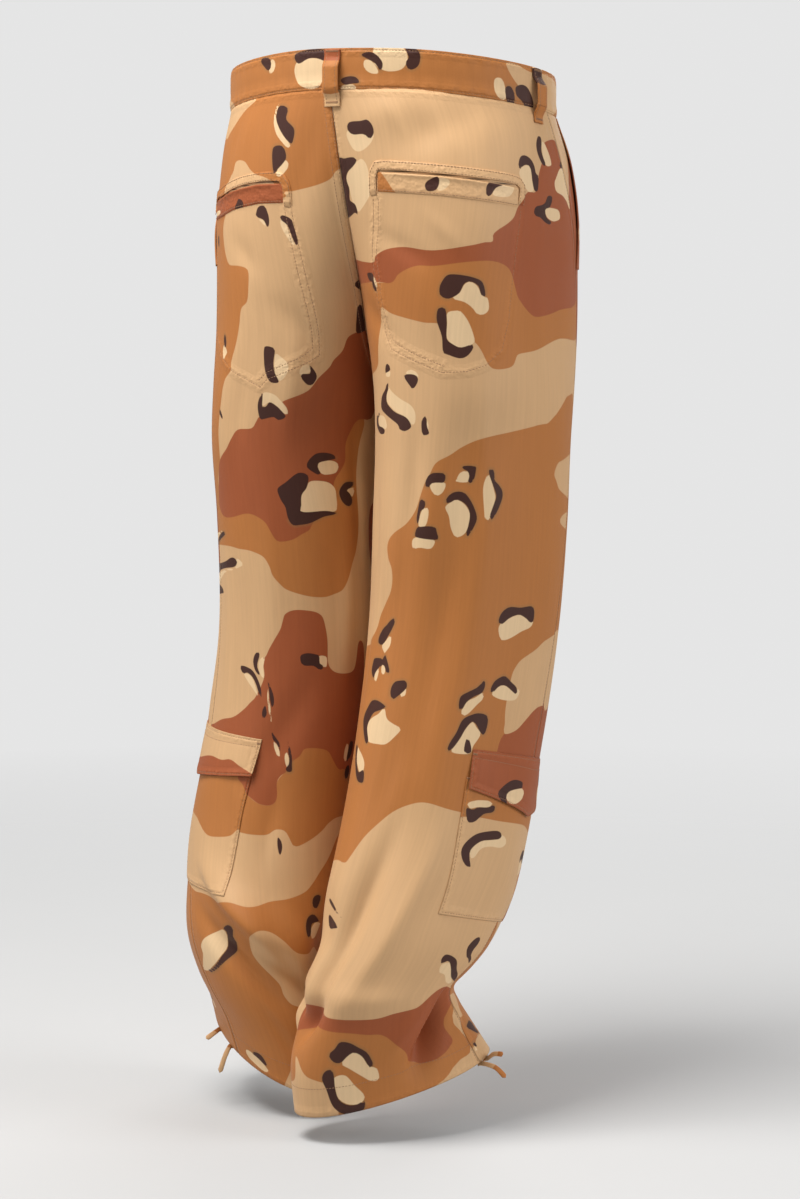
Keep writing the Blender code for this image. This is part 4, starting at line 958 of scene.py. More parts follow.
# %% Charts of the front panels
STONES = (
    ((-13,-2, -9,-8, 0,-10, 9,-7, 13,0, 9,1, 3,-4, -4,-3, -9,2),
     (-9,2, -4,-3, 3,-4, 9,1, 10,8, 2,12, -6,9)),
    ((-5,-13, 0,-11, -1,-2, 1,6, 9,11, 5,15, -4,13, -8,3),
     (0,-10, 7,-8, 11,2, 9,10, 1,6, -1,-2)),
    ((-6,-7, 3,-9, 8,-4, 6,2, 1,-1, -4,1),
     (-4,1, 1,-1, 6,2, 5,8, -2,8)),
    ((-3,-12, 2,-9, 6,0, 5,9, 1,13, 2,4, -1,-4),
     (-1,-4, 2,4, 1,12, -4,10, -6,0)),
)
FRONT_STONE_ROWS = {
    # u, v, stone, size, turn in degrees
    LEFT: (
        (96, 66, 0, 0.9, 20), (128, 92, 1, 0.9, -20), (104, 108, 2, 1.0, 60), (166, 70, 2, 1.1, 0),
        (206, 118, 0, 1.1, -30), (232, 150, 3, 1.0, 15), (150, 214, 1, 1.1, 35),
        (182, 232, 2, 1.1, -40), (120, 246, 3, 1.0, 70), (222, 262, 0, 1.0, 160),
        (128, 330, 0, 1.3, 0), (158, 352, 3, 1.3, 10), (136, 372, 1, 1.0, 0),
        (180, 322, 2, 1.2, 90), (262, 372, 0, 1.1, 30), (290, 396, 3, 1.0, -30),
        (214, 440, 1, 1.1, 20), (242, 470, 2, 1.2, 10), (160, 488, 0, 1.0, 200),
        (300, 520, 1, 1.1, 60), (190, 566, 0, 1.1, 10), (212, 596, 3, 1.2, 30),
        (168, 604, 2, 1.0, -20), (262, 606, 0, 1.0, -50), (290, 660, 1, 1.0, 10),
        (230, 676, 2, 1.1, 0), (176, 760, 0, 1.1, 30), (206, 784, 3, 1.0, -10),
        (270, 770, 1, 1.2, 40), (238, 846, 0, 1.1, -20), (282, 872, 2, 1.1, 80),
        (190, 884, 1, 1.0, 0), (150, 930, 2, 1.0, 30), (236, 928, 3, 1.1, 60), (300, 930, 0, 1, 0),
    ),
    RIGHT: (
        (236, 70, 0, 1.0, -30), (262, 102, 2, 1.1, 30), (226, 140, 3, 1.0, -20),
        (300, 60, 1, 0.9, 40), (318, 118, 0, 1.1, 20), (254, 196, 1, 1.1, 10),
        (290, 222, 2, 1.2, -40), (342, 170, 3, 1.0, 30), (346, 250, 0, 1.0, 190),
        (250, 296, 0, 1.1, 30), (282, 322, 3, 1.2, 0), (326, 336, 2, 1.1, 60),
        (372, 320, 1, 1.0, -20), (262, 396, 1, 1.1, -10), (330, 420, 0, 1.2, 10),
        (356, 446, 3, 1.1, 40), (298, 468, 2, 1.1, 0), (396, 480, 0, 1.0, 70),
        (270, 536, 0, 1.1, -20), (316, 560, 1, 1.1, 30), (352, 586, 2, 1.2, 0),
        (292, 610, 3, 1.1, 20), (384, 640, 0, 1.1, 0), (326, 668, 2, 1.1, 120),
        (300, 756, 0, 1.1, 20), (342, 778, 1, 1.1, -30), (372, 740, 3, 1.0, 10),
        (306, 840, 2, 1.1, 0), (344, 866, 0, 1.2, 30), (280, 880, 3, 1.1, 60),
        (376, 900, 1, 1.0, 0), (320, 930, 0, 1.0, -20), (266, 934, 2, 1.0, 40), (209, 953, 2, 0.5, 10),
    ),
}


def stones(side, part):
    """Outlines of a side's stones, 0 dark or 1 cream: each shape sized, turned and moved."""
    made = []
    for u, v, kind, size, degrees in FRONT_STONE_ROWS[side]:
        cosine, sine = math.cos(math.radians(degrees)), math.sin(math.radians(degrees))
        shape = np.reshape(STONES[kind][part], (-1, 2)) * size
        made.append(shape @ np.array([[cosine, sine], [-sine, cosine]]) + (u, v))
    return tuple(made)


LEFT_FRONT = {"brown": LEFT_BACK["brown"] + (
    (120,20, 210,24, 250,50, 262,96, 240,150, 200,190, 176,240, 184,300, 160,360, 120,380),
    (150,300, 196,292, 236,312, 286,330, 330,380, 360,460, 350,540, 300,560, 262,520, 226,500, 190,512,
     150,520, 110,500),
    (170,690, 220,672, 270,690, 320,740, 360,760, 360,840, 300,850, 250,820, 200,806, 160,806),
    (170,985, 180,930, 214,904, 262,912, 300,950, 360,960, 360,990),
), "rust": (
    (150,170, 176,190, 192,236, 230,246, 262,270, 300,280, 310,250, 280,220, 250,180, 244,140, 214,130,
     180,140),
    (80,380, 110,392, 150,430, 196,440, 222,470, 250,482, 246,512, 200,508, 160,524, 116,500, 70,470),
    (110,640, 150,622, 190,632, 210,662, 240,690, 250,740, 220,760, 180,736, 140,744, 90,720),
    (250,560, 300,540, 360,548, 370,640, 320,650, 280,620),
), "sand": (
    (110,100, 140,92, 160,118, 150,150, 120,146),
    (280,420, 310,414, 326,450, 300,478, 276,456),
), "dark": LEFT_BACK["dark"] + stones(LEFT, 0), "cream": LEFT_BACK["cream"] + stones(LEFT, 1)}
RIGHT_FRONT = {"brown": (
    (190,331, 240,322, 290,340, 330,392, 342,450, 320,500, 290,560, 250,640, 260,716, 190,726, 150,700,
     150,400),
    (330,20, 400,20, 420,120, 400,230, 360,262, 330,230, 336,170, 318,120, 322,60),
    (360,560, 420,540, 440,640, 420,760, 370,780, 340,720, 346,640),
    (140,800, 196,806, 212,846, 236,884, 262,916, 284,950, 290,990, 140,990),
), "rust": (
    (190,60, 224,52, 262,72, 276,120, 262,170, 280,220, 330,250, 350,290, 320,300, 270,280, 236,252,
     190,226),
    (150,604, 220,596, 262,612, 290,650, 284,700, 240,720, 150,724),
    (300,470, 340,450, 380,470, 400,530, 380,580, 340,570, 312,530),
    (280,840, 330,820, 380,840, 420,900, 420,960, 360,950, 310,900),
), "sand": (
    (190,368, 222,366, 236,384, 222,402, 190,404),
    (190,540, 222,534, 240,560, 222,598, 190,604),
    (173,885, 192,885, 207,895, 225,915, 201,909, 181,895),
    (146,970, 165,962, 183,957, 203,953, 227,946, 250,960, 262,990, 146,990),
), "dark": (
    (217,929, 232,926, 234,932, 231,939, 233,946, 226,944, 219,936),
) + stones(RIGHT, 0), "cream": stones(RIGHT, 1)}
CHARTS = {
    (RIGHT, True): RIGHT_BACK, (LEFT, True): LEFT_BACK,
    (RIGHT, False): RIGHT_FRONT, (LEFT, False): LEFT_FRONT,
}
print("outlines charted:", sum(len(shapes) for chart in CHARTS.values() for shapes in chart.values()))

# %% [markdown]
# ## Shader helpers
#
# A material is a small sum of textures and marks. The class wraps a number socket,
# so that such a sum can be written in Python: each operator adds one Math node. Any
# other node comes from one method, which sets the node's settings first and then
# its inputs.

# %% Node helpers


class Wire:
    """A socket that takes part in Python sums; each operator adds one Math node."""

    def __init__(self, recipe, socket):
        self.recipe = recipe
        self.socket = socket

    def math(self, operation, first, second=None):
        inputs = {0: first} if second is None else {0: first, 1: second}
        return self.recipe.add("ShaderNodeMath", {"operation": operation}, inputs)

    def __add__(self, other):
        return self.math("ADD", self, other)

    __radd__ = __add__

    def __mul__(self, other):
        return self.math("MULTIPLY", self, other)

    __rmul__ = __mul__

    def __sub__(self, other):
        return self.math("SUBTRACT", self, other)

    def __rsub__(self, other):
        return self.math("SUBTRACT", other, self)

    def sine(self):
        return self.math("SINE", self)

    def ramp(self, low, high):
        """0 below low, 1 above high, even between."""
        settings = {"clamp": True}
        inputs = {0: self, 1: low, 2: high, 3: 0.0, 4: 1.0}
        return self.recipe.add("ShaderNodeMapRange", settings, inputs)


class Recipe:
    """A material and its nodes; add() is the one way that a node is made."""

    def __init__(self, name):
        self.material = bpy.data.materials.new(name)
        self.material.use_nodes = True
        self.tree = self.material.node_tree
        self.shader = self.tree.nodes["Principled BSDF"]

    @classmethod
    def for_tree(cls, tree):
        """A recipe for a node tree that exists, such as the world's."""
        recipe = cls.__new__(cls)
        recipe.tree = tree
        return recipe

    def plug(self, socket, value):
        if isinstance(value, Wire):
            self.tree.links.new(value.socket, socket)
        else:
            socket.default_value = value

    def add(self, kind, settings=None, inputs=None, output=0):
        node = self.tree.nodes.new(kind)
        for setting, value in (settings or {}).items():
            setattr(node, setting, value)
        for socket, value in (inputs or {}).items():
            self.plug(node.inputs[socket], value)
        return Wire(self, node.outputs[output])

    def mark(self, name):
        """A number stored on the cloth."""
        return self.add("ShaderNodeAttribute", {"attribute_name": name}, output="Fac")

    def chart(self, u_scale, v_scale):
        """The cloth's own chart in metres, stretched by two numbers."""
        chart = self.add("ShaderNodeUVMap", {"uv_map": "chart"})
        settings = {"operation": "MULTIPLY"}
        return self.add("ShaderNodeVectorMath", settings, {0: chart, 1: (u_scale, v_scale, 1.0)})

    def noise(self, vector, detail=2.0, roughness=0.5):
        inputs = {"Vector": vector, "Scale": 1.0, "Detail": detail, "Roughness": roughness}
        return self.add("ShaderNodeTexNoise", inputs=inputs)

    def mix(self, factor, first, second):
        """Colour between first and second by a factor."""
        inputs = {0: factor, 6: first, 7: second}
        return self.add("ShaderNodeMix", {"data_type": "RGBA"}, inputs, output=2)

    def shade(self, colour, value):
        """Colour times a number, through Vector Math."""
        settings = {"operation": "SCALE"}
        return self.add("ShaderNodeVectorMath", settings, {0: colour, 3: value})

    def bump(self, height, distance):
        inputs = {"Strength": 1.0, "Distance": distance, "Height": height}
        return self.add("ShaderNodeBump", inputs=inputs)

    def grain(self, scale, detail=2.0):
        """Noise in the room's own metres, and not on the chart."""
        place = self.add("ShaderNodeTexCoord", output="Object")
        return self.add("ShaderNodeTexNoise", inputs={"Vector": place, "Scale": scale, "Detail": detail})

    def finish(self, **sockets):
        for name, value in sockets.items():
            self.plug(self.shader.inputs[name.replace("_", " ")], value)
        return self.material


# %% [markdown]
# ## Camouflage twill
#
# The real cloth is a dense cotton twill with a satin finish: a fine diagonal rib,
# faint long slubs down the warp, and a soft sheen where it turns to the light. The
# colours are chosen by how far a place is inside each charted outline, so the edges
# of the print stay crisp at any distance. The rib and the slubs follow the chart of
# the cloth, not the room, so they turn with each leg.

# %% Twill materials
SAND = (0.610, 0.370, 0.185, 1.0)
BROWN = (0.440, 0.163, 0.042, 1.0)
RUST = (0.330, 0.085, 0.028, 1.0)
CREAM = (0.750, 0.530, 0.305, 1.0)
DARK = (0.055, 0.019, 0.013, 1.0)
KHAKI = (0.260, 0.150, 0.060, 1.0)
# SHADOW is the painted shadow along a back pocket's slit.
SHADOW = (0.020, 0.010, 0.006, 1.0)
EDGE_SOFT = 0.30
SEAM_ROW = 2.1
GROOVE_IN, GROOVE_OUT = 1.5, 1.8
# A painted shade along sewn edges: its width in mm and how much darker it makes the colour.
SEAM_SHADE_WIDE = 1.3
SEAM_PAINTED_SHADE = 0.22
PUCKER_WIDE = (9.0, 3.5)
HALO_WIDE = 3.2
HALO_SHARE = 0.45
SLUBS, CLOUDS, PUCKERS, RIDGES = (330.0, 11.0), (14.0, 9.0), (210.0, 210.0), (420.0, 16.0)
RIB_WAVES = (9200.0, 5600.0)
RIB_HIGH, SLUB_HIGH, PUCKER_HIGH, GROOVE_DEEP = 0.035, 0.16, 1.9, 0.55
# Tone of the colour: plain, slubs, clouds, and a painted light and shade on the puckers.
PLAIN_SHADE, SLUB_SHADE, CLOUD_SHADE, PUCKER_PAINTED_SHADING = 0.85, 0.18, 0.10, 0.10
BUMP_DEEP = 0.0006
REVERSE_PALE = (0.55, 0.38, 0.22, 1.0)
REVERSE_GHOST = (0.40, 0.22, 0.11, 1.0)
THREAD_COLOUR = (0.300, 0.150, 0.070)


def beside_seams(recipe):
    """Small puckers that grow from 9 mm to 3.5 mm beside a sewn edge."""
    return recipe.noise(recipe.chart(*PUCKERS), 1.0) * recipe.mark("rim").ramp(*PUCKER_WIDE)


def printed_colour(recipe):
    """Sand, then each colour of the print where its mark is above 0, then slubs and clouds of tone, a painted
    light and shade on the puckers, a painted shade along sewn edges and the painted shadow of a pocket's
    slit.
    """
    inside = {mark: recipe.mark(mark).ramp(-EDGE_SOFT, EDGE_SOFT) for mark in COLOURS}
    colour = recipe.mix(inside["brown"], SAND, BROWN)
    colour = recipe.mix(inside["rust"], colour, RUST)
    colour = recipe.mix(inside["sand"], colour, SAND)
    field = recipe.mark("brown").ramp(-1.0, 1.0) * (1 - inside["sand"])
    halo = recipe.mark("dark").ramp(-HALO_WIDE, 0.0) * field * HALO_SHARE
    colour = recipe.mix(halo, colour, KHAKI)
    colour = recipe.mix(inside["cream"], colour, CREAM)
    colour = recipe.mix(inside["dark"], colour, DARK)
    slub = recipe.noise(recipe.chart(*SLUBS), 3.0, 0.6)
    cloud = recipe.noise(recipe.chart(*CLOUDS), 3.0, 0.55)
    # Painted shade: the colour darkens by up to 22 % within 1.3 mm of a sewn edge, where shade falls into the
    # seam.
    seam = recipe.mark("rim").ramp(0.0, SEAM_SHADE_WIDE) * SEAM_PAINTED_SHADE + (1 - SEAM_PAINTED_SHADE)
    # The puckers beside seams are also painted lighter and darker, a painted light and shade on their ridges;
    # slubs and clouds are the cloth's own tone.
    value = PLAIN_SHADE + slub * SLUB_SHADE + cloud * CLOUD_SHADE + beside_seams(recipe) * PUCKER_PAINTED_SHADING
    colour = recipe.shade(colour, value * seam)
    # Along the slit of a back pocket the colour goes to SHADOW, a painted shadow for the shaded inside of the
    # pocket.
    return recipe.mix(recipe.mark("slit").ramp(-EDGE_SOFT, EDGE_SOFT), colour, SHADOW)


def twill_height(recipe):
    """Diagonal ribs 0.6 mm apart, long slubs and small puckers beside the seams."""
    chart = recipe.chart(1.0, 1.0)
    parts = recipe.add("ShaderNodeSeparateXYZ", inputs={0: chart})
    u, v = parts, Wire(recipe, parts.socket.node.outputs[1])
    rib = (u * RIB_WAVES[0] + v * RIB_WAVES[1]).sine()
    slub = recipe.noise(recipe.chart(*RIDGES), 2.0)
    rim = recipe.mark("rim")
    groove = rim.ramp(SEAM_ROW - GROOVE_IN, SEAM_ROW) * rim.ramp(SEAM_ROW + GROOVE_OUT, SEAM_ROW)
    return rib * RIB_HIGH + slub * SLUB_HIGH + beside_seams(recipe) * PUCKER_HIGH - groove * GROOVE_DEEP


twill = Recipe("camouflage_twill")
twill_slub = twill.noise(twill.chart(*SLUBS), 3.0, 0.6)
camouflage = twill.finish(
    Base_Color=printed_colour(twill),
    Roughness=0.50 + twill_slub * 0.10,
    Normal=twill.bump(twill_height(twill), BUMP_DEEP),
    Sheen_Weight=0.06,
    Sheen_Roughness=0.40,
    Sheen_Tint=(1.0, 0.86, 0.70, 1.0),
    Specular_IOR_Level=0.22,
)

reverse_recipe = Recipe("reverse_of_the_twill")
reverse_ghost = reverse_recipe.mark("brown").ramp(-2.0, 2.0) * 0.35
reverse_colour = reverse_recipe.mix(reverse_ghost, REVERSE_PALE, REVERSE_GHOST)
reverse_slub = reverse_recipe.noise(reverse_recipe.chart(300.0, 12.0), 3.0, 0.6)
reverse = reverse_recipe.finish(
    Base_Color=reverse_recipe.shade(reverse_colour, 0.85 + reverse_slub * 0.20),
    Roughness=0.85,
    Normal=reverse_recipe.bump(twill_height(reverse_recipe), BUMP_DEEP),
    Sheen_Weight=0.15,
)


def thread_material(name, colour):
    """Spun thread: one colour, lighter and darker along its length, fuzzy and matt."""
    recipe = Recipe(name)
    grain = recipe.grain(900.0)
    return recipe.finish(
        Base_Color=recipe.shade(colour[:3], 0.75 + grain * 0.5),
        Roughness=0.78,
        Normal=recipe.bump(grain, 0.0002),
        Sheen_Weight=0.2,
    )


thread = thread_material("cotton_thread", THREAD_COLOUR)
print("materials:", [m.name for m in (camouflage, reverse, thread)])

# %% [markdown]
# ## Back pocket openings
#
# Each back pocket is a double welt: a slit cut into the panel, a folded strip that
# fills it from below, and a stitched frame round it. The slit is charted as a line;
# along it the panel is painted dark, a painted shadow that stands for the shaded
# inside of the pocket, and the folded strips leave only a narrow part of that
# painted shadow to be seen. A real cut through the panel would need its own edge
# faces, and shows no more than this.

# %% Lines of the slits
# Width and rounded ends of the painted shadow along a slit, in mm.
SLIT_SHADE_REACH = 1.2
SLIT_SHADE_ENDS = 0.8
SLIT_STOPS = {
    LEFT: ((-50, 104.5), (-20, 105), (20, 110), (50, 115.5), (80, 117.5)),
    RIGHT: ((-67, 95), (0, 99), (79, 106)),
}


def slit_line(side, u):
    """V of the slit at a place U, in mm: straight between its stops."""
    stops = np.array(SLIT_STOPS[side], float)
    return np.interp(u, stops[:, 0], stops[:, 1])


def slit_shade_mark(side, u, v):
    """How far each place is inside the painted shadow along the slit, in mm."""
    stops = np.array(SLIT_STOPS[side], float)
    beyond = np.maximum(np.maximum(stops[0, 0] - u, u - stops[-1, 0]), 0)
    gap = np.hypot(v - slit_line(side, u), beyond + SLIT_SHADE_ENDS)
    return np.clip(SLIT_SHADE_REACH - gap, -FAR_OFF, FAR_OFF)


# %% [markdown]
# ## Panels
#
# Each panel gets its print, a wall of 1.5 mm grown to the inside, and a raised felled
# seam down the centre back, where one panel's turning is folded over the other's and
# stitched twice. Modelling the turnings as real folded layers would cost many faces
# that nobody sees, so the extra thickness is a low step in the surface.

# %% Dress the panels
BAG_LINES = {
    RIGHT: (
        ((-71, 120), (-69, 175), (-60, 215), (-47, 246), (-38, 258), (-10, 268), (21, 279)),
        ((-65, 120), (-63, 174), (-54, 213), (-42, 243), (-34, 252), (-9, 262), (22, 273)),
        ((21, 279), (45, 278), (64, 272), (80, 258), (86, 230), (86, 126)),
    ),
    LEFT: (
        ((-55, 131), (-56, 180), (-59, 230), (-62, 266), (-51, 272), (-10, 289), (-4, 296)),
        ((-48, 131), (-49, 180), (-52, 228), (-55, 259), (-46, 266), (-9, 282), (-1, 290)),
        ((-4, 296), (6, 292), (34, 281), (60, 266), (84, 244), (90, 200), (90, 136)),
    ),
}
WALL = 0.0015
FELL_WIDTH = 0.0095
FELL_RISE = 0.0007
FELL_EDGE = 0.0020
FELL_FADE = 0.02


def rim_distance(panel):
    """Distance in mm to the nearest edge of a panel: side seam, inner edge, waist or hem."""
    drops = panel["drops"][:, None] * 1000
    from_waist = drops - WAIST_DROP * 1000
    from_hem = HEM_DROP * 1000 - drops
    from_side = panel["to_edge"][:, :1] - panel["to_edge"]
    return np.minimum(np.minimum(from_waist, from_hem), np.minimum(from_side, panel["to_edge"]))


def line_distance(stops, u, v):
    """Distance in mm from places to a line through stops: the least over its straight parts."""
    start, end = np.array(stops[:-1], float), np.array(stops[1:], float)
    side = end - start
    offset = np.stack([u, v], axis=-1)[..., None, :] - start
    share = np.clip((offset * side).sum(-1) / (side**2).sum(-1), 0, 1)
    return np.linalg.norm(offset - side * share[..., None], axis=-1).min(-1)


def felled(panel, side):
    """The left back panel with its centre seam raised: a step of 0.7 mm beside the edge."""
    above_crotch = smooth_step((CROTCH_DROP - panel["drops"][:, None]) / FELL_FADE)
    step = smooth_step((FELL_WIDTH - panel["to_edge"] / 1000) / FELL_EDGE)
    rise = FELL_RISE * step * above_crotch * (side == LEFT)
    return panel["points"] + panel["normals"] * rise[..., None]


def make_cloth(name, points, u, v, marks, outside, wall, stands_for=None):
    """A printed sheet: its grid, chart and marks, all turned so that the faces look outwards.

    The chart becomes a UV map in metres, U to the outside and V down the leg; outside
    is plus when the grid's columns already run the right way, and minus when not.
    """
    layers = {mark: facing_out(np.broadcast_to(at, u.shape), outside) for mark, at in marks.items()}
    chart = facing_out(np.stack([u, -v], axis=-1) / 1000, outside)
    mesh = grid_mesh(name, facing_out(points, outside), chart, layers)
    piece = give_wall(show(name, mesh, camouflage, reverse), wall)
    if stands_for:
        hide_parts(stands_for)
    print(name, "quads:", len(mesh.polygons))
    return piece


for (side, rear), panel in panels.items():
    u, v, rim, slit = panel["u"], panel["v"], rim_distance(panel), -FAR_OFF
    if rear:
        rim = np.minimum.reduce([rim] + [SEAM_ROW + line_distance(stops, u, v) for stops in BAG_LINES[side]])
        # The panel is painted dark along the slit, a painted shadow of the pocket's inside.
        slit = slit_shade_mark(side, u, v)
        panel["points"] = felled(panel, side)
    name = panel_name(side, rear)
    marks = printed(CHARTS[side, rear], u, v, rim, slit)
    make_cloth(f"{name}_cloth", panel["points"], u, v, marks, side if rear else -side, WALL, name)

# %% [markdown]
# ## Places on the panels
#
# A pocket, a flap or a row of stitches lies on the leg, so its points come from the
# panels. There are two ways to ask for a place: round the side seam, in shares of a
# panel's columns, or on the chart of a back panel, in millimetres.

# %% Functions that find a place on the cloth
CAD_COLUMNS = 15
PATCH_WALL = 0.0011
PATCH_GAP = 0.0002
PATCH_OUT = PATCH_GAP + PATCH_WALL
NEAR_EDGE = (0, 0.0005, 0.0012, 0.0021, 0.0030, 0.0045, 0.0068, 0.0080, 0.0092)
SEWN_ROWS = (0.0021, 0.0080)
EDGE_FALL = 0.0006
EDGE_ROUND = 0.0014
ROW_SUNK = 0.00035
ROW_WIDE = 0.0009


def panel_values(panel):
    """A panel's points, normals and U side by side, as one grid of seven numbers."""
    return np.concatenate([panel["points"], panel["normals"], panel["u"][..., None]], axis=-1)


values_of = {key: panel_values(panel) for key, panel in panels.items()}


def on_panels(side, drop, place, out):
    """Points moved out from the panels, and their U; a place is plus on the back of the
    side seam, minus on the front, and 15 is the panel's inner edge."""
    drop, place, out = np.broadcast_arrays(drop, place, out)
    found = []
    for rear in (True, False):
        values = values_of[side, rear]
        drops = panels[side, rear]["drops"]
        row_place = np.interp(drop, drops, np.arange(len(drops)))
        share = np.maximum(place if rear else -place, 0) / CAD_COLUMNS
        found.append(sample(values, row_place, share * (values.shape[1] - 1)))
    on_back = ((place > 0) + 0.5 * (place == 0))[..., None]
    values = found[0] * on_back + found[1] * (1 - on_back)
    return values[..., :3] + unit(values[..., 3:6]) * out[..., None], values[..., 6]


def on_chart(side, u, v, out):
    """Points and normals of a back panel at chart places U, V in mm, moved out from it.

    In the row of a place, U falls steadily from column to column, so the column is
    found by counting those before it, and the rest is the share to the next.
    """
    u, v, out = np.broadcast_arrays(np.asarray(u, float), v, out)
    panel, values = panels[side, True], values_of[side, True]
    drops = panel["drops"]
    row_place = np.interp(v / 1000, drops, np.arange(len(drops)))
    row = np.clip(row_place.astype(int), 0, len(drops) - 2)
    part = (row_place - row)[..., None]
    row_u = panel["u"][row] * (1 - part) + panel["u"][row + 1] * part
    before = np.clip((row_u > u[..., None]).sum(-1) - 1, 0, row_u.shape[-1] - 2)
    first = np.take_along_axis(row_u, before[..., None], -1)[..., 0]
    second = np.take_along_axis(row_u, before[..., None] + 1, -1)[..., 0]
    column_place = before + (u - first) / (second - first)
    found = sample(values, row_place, np.clip(column_place, 0, row_u.shape[-1] - 1))
    normals = unit(found[..., 3:6])
    return found[..., :3] + normals * out[..., None], normals


def edge_lines(length, spacing=0.0026):
    """Places across a patch in metres: close together near both edges, even between."""
    near = np.array(NEAR_EDGE)
    steps = max(int((length - 2 * near[-1]) / spacing), 2)
    inner = np.linspace(near[-1], length - near[-1], steps)
    return np.concatenate([near[:-1], inner, length - near[-2::-1]])


def sewn_edge(distance, rows=SEWN_ROWS):
    """Height of a sewn patch near its edge: rounded off at the fold, sunk at each stitch row."""
    height = -EDGE_FALL * (1 - smooth_step(distance / EDGE_ROUND))
    for row in rows:
        height = height - ROW_SUNK * bell(distance - row, ROW_WIDE)
    return height


# %% [markdown]
# ## Welts of the back pockets
#
# The lower welt is a folded strip with a rounded lip that stands a little open. The
# frame above it is a narrow band stitched along both edges; it runs round the ends
# of the slit and down beside the welt.

# %% Welts and their frames
WELT_HEIGHT = 19.0
WELT_CHARTS = {
    RIGHT: {
        "brown": ((-76,88, -66,93, -50,112, -46,118, -76,120),),
        "dark": (
            (-16,113, -17,107, -12,103, -5,101, -4,107, -6,112, -10,114),
            (42,115, 42,107, 48,102, 58,101, 67,102, 60,106, 52,109, 47,116, 43,117),
        ),
        "cream": (
            (-5,103, 4,103, 6,107, 0,113, -6,112),
            (52,109, 60,105, 72,104, 73,110, 68,116, 55,117, 49,115),
        ),
    },
    LEFT: {
        "rust": ((-70,90, 100,90, 100,150, -70,150),),
        "dark": ((2,125, 3,121, 9,119, 13,123, 17,128, 8,129),),
        "cream": ((54,129, 66,128, 79,130, 78,133, 60,132),),
    },
}
WELT_IN = 1.0
WELT_OUT = PATCH_GAP + PATCH_WALL * 0.6
WELT_ROW = 0.0016
WELT_RIM = 4.0
LIP = (0.0016, 1.6, 2.6)  # height in m, place and spread in mm
LIP_ARCH = 0.6
ROLL = (0.0026, 1.4)
# The welt strip takes the slit's painted shadow too, its places moved 0.8 mm down the chart and the shadow
# 0.6 mm less far.
WELT_SLIT_SHADE_DOWN = 0.8
WELT_SLIT_SHADE_LESS = 0.6
FRAME_HALF = 4.2
FRAME_OUT = 0.0016
FRAME_STEP = 1.6
FRAME_SUNK = 0.0014
FRAME_FADE = 5
FRAME_ROW = 0.0012
FRAME_RIM = 2.0
RIDGE_HIGH = 0.00022
RIDGE_WAVES = (1.15, 0.9, 0.31)
RIDGE_SPREAD = 0.75
OVER_SLIT, OVER_FROM = 0.0006, 0.2
FRAME_ACROSS = (-1, -0.93, -0.82, -0.68, -0.5, -0.25, 0, 0.25, 0.5, 0.68, 0.82, 0.93, 1)
FRAME_STOPS = {
    RIGHT: ((-71, 118), (-72, 108), (-71, 97), (-67, 91), (-58, 90.5), (-30, 92), (0, 94),
            (40, 97), (70, 99.5), (80, 101.5), (85, 106), (86, 114), (85, 124)),
    LEFT: ((-52, 128), (-53, 118), (-53, 107), (-49, 101), (-40, 99.5), (-20, 100), (0, 102),
           (20, 105), (50, 110.5), (76, 112.5), (84, 115), (88, 121), (88, 132)),
}


def welt_grid(side):
    """The folded strip: from a lip rolled into the slit, over its face, to its lower edge."""
    ends = SLIT_STOPS[side][0][0] + WELT_IN, SLIT_STOPS[side][-1][0] + WELT_IN
    u = ends[0] + 1000 * edge_lines((ends[1] - ends[0]) / 1000)[None, :]
    down = 1000 * edge_lines(WELT_HEIGHT / 1000, 0.0020)[:, None]
    v = slit_line(side, u) + WELT_IN + down * (WELT_HEIGHT - WELT_IN) / WELT_HEIGHT
    along = (u - ends[0]) / (ends[1] - ends[0])
    lip = LIP[0] * bell(down - LIP[1], LIP[2]) * np.sin(math.pi * np.clip(along, 0, 1)) ** LIP_ARCH
    roll = -ROLL[0] * (1 - smooth_step(down / ROLL[1]))
    below = sewn_edge((WELT_HEIGHT - down) / 1000, (WELT_ROW,))
    points, _ = on_chart(side, u, v, WELT_OUT + lip + roll + below)
    return points, np.broadcast_to(u, v.shape), v


def frame_grid(side):
    """The stitched frame: a band swept along its middle line on the chart, ridged crosswise."""
    stops = np.array(FRAME_STOPS[side], float)
    length = lengths_along(stops)
    t = np.arange(0, length[-1], FRAME_STEP)
    rows = rows_at(np.column_stack([length, stops]), ("at", "u", "v"), t)
    line = np.stack([rows["u"], rows["v"]], axis=-1)
    ahead = unit(np.gradient(line, axis=0))
    aside = np.stack([ahead[:, 1], -ahead[:, 0]], axis=-1)
    width = np.array(FRAME_ACROSS)[:, None]
    u = line[None, :, 0] + aside[None, :, 0] * width * FRAME_HALF
    v = line[None, :, 1] + aside[None, :, 1] * width * FRAME_HALF
    from_edge = FRAME_HALF / 1000 * (1 - np.abs(width))
    wave = np.sin(t * RIDGE_WAVES[0] + RIDGE_WAVES[1] * np.sin(t * RIDGE_WAVES[2]))
    ridges = RIDGE_HIGH * wave[None, :] * bell(width, RIDGE_SPREAD)
    over_slit = OVER_SLIT * smooth_step((-width - OVER_FROM) / (1 - OVER_FROM))
    fade = smooth_step(t / FRAME_FADE) * smooth_step((length[-1] - t) / FRAME_FADE)
    out = FRAME_OUT + sewn_edge(from_edge, (FRAME_ROW,)) + ridges + over_slit - FRAME_SUNK * (1 - fade)
    points, _ = on_chart(side, u, v, out)
    return points, u, v


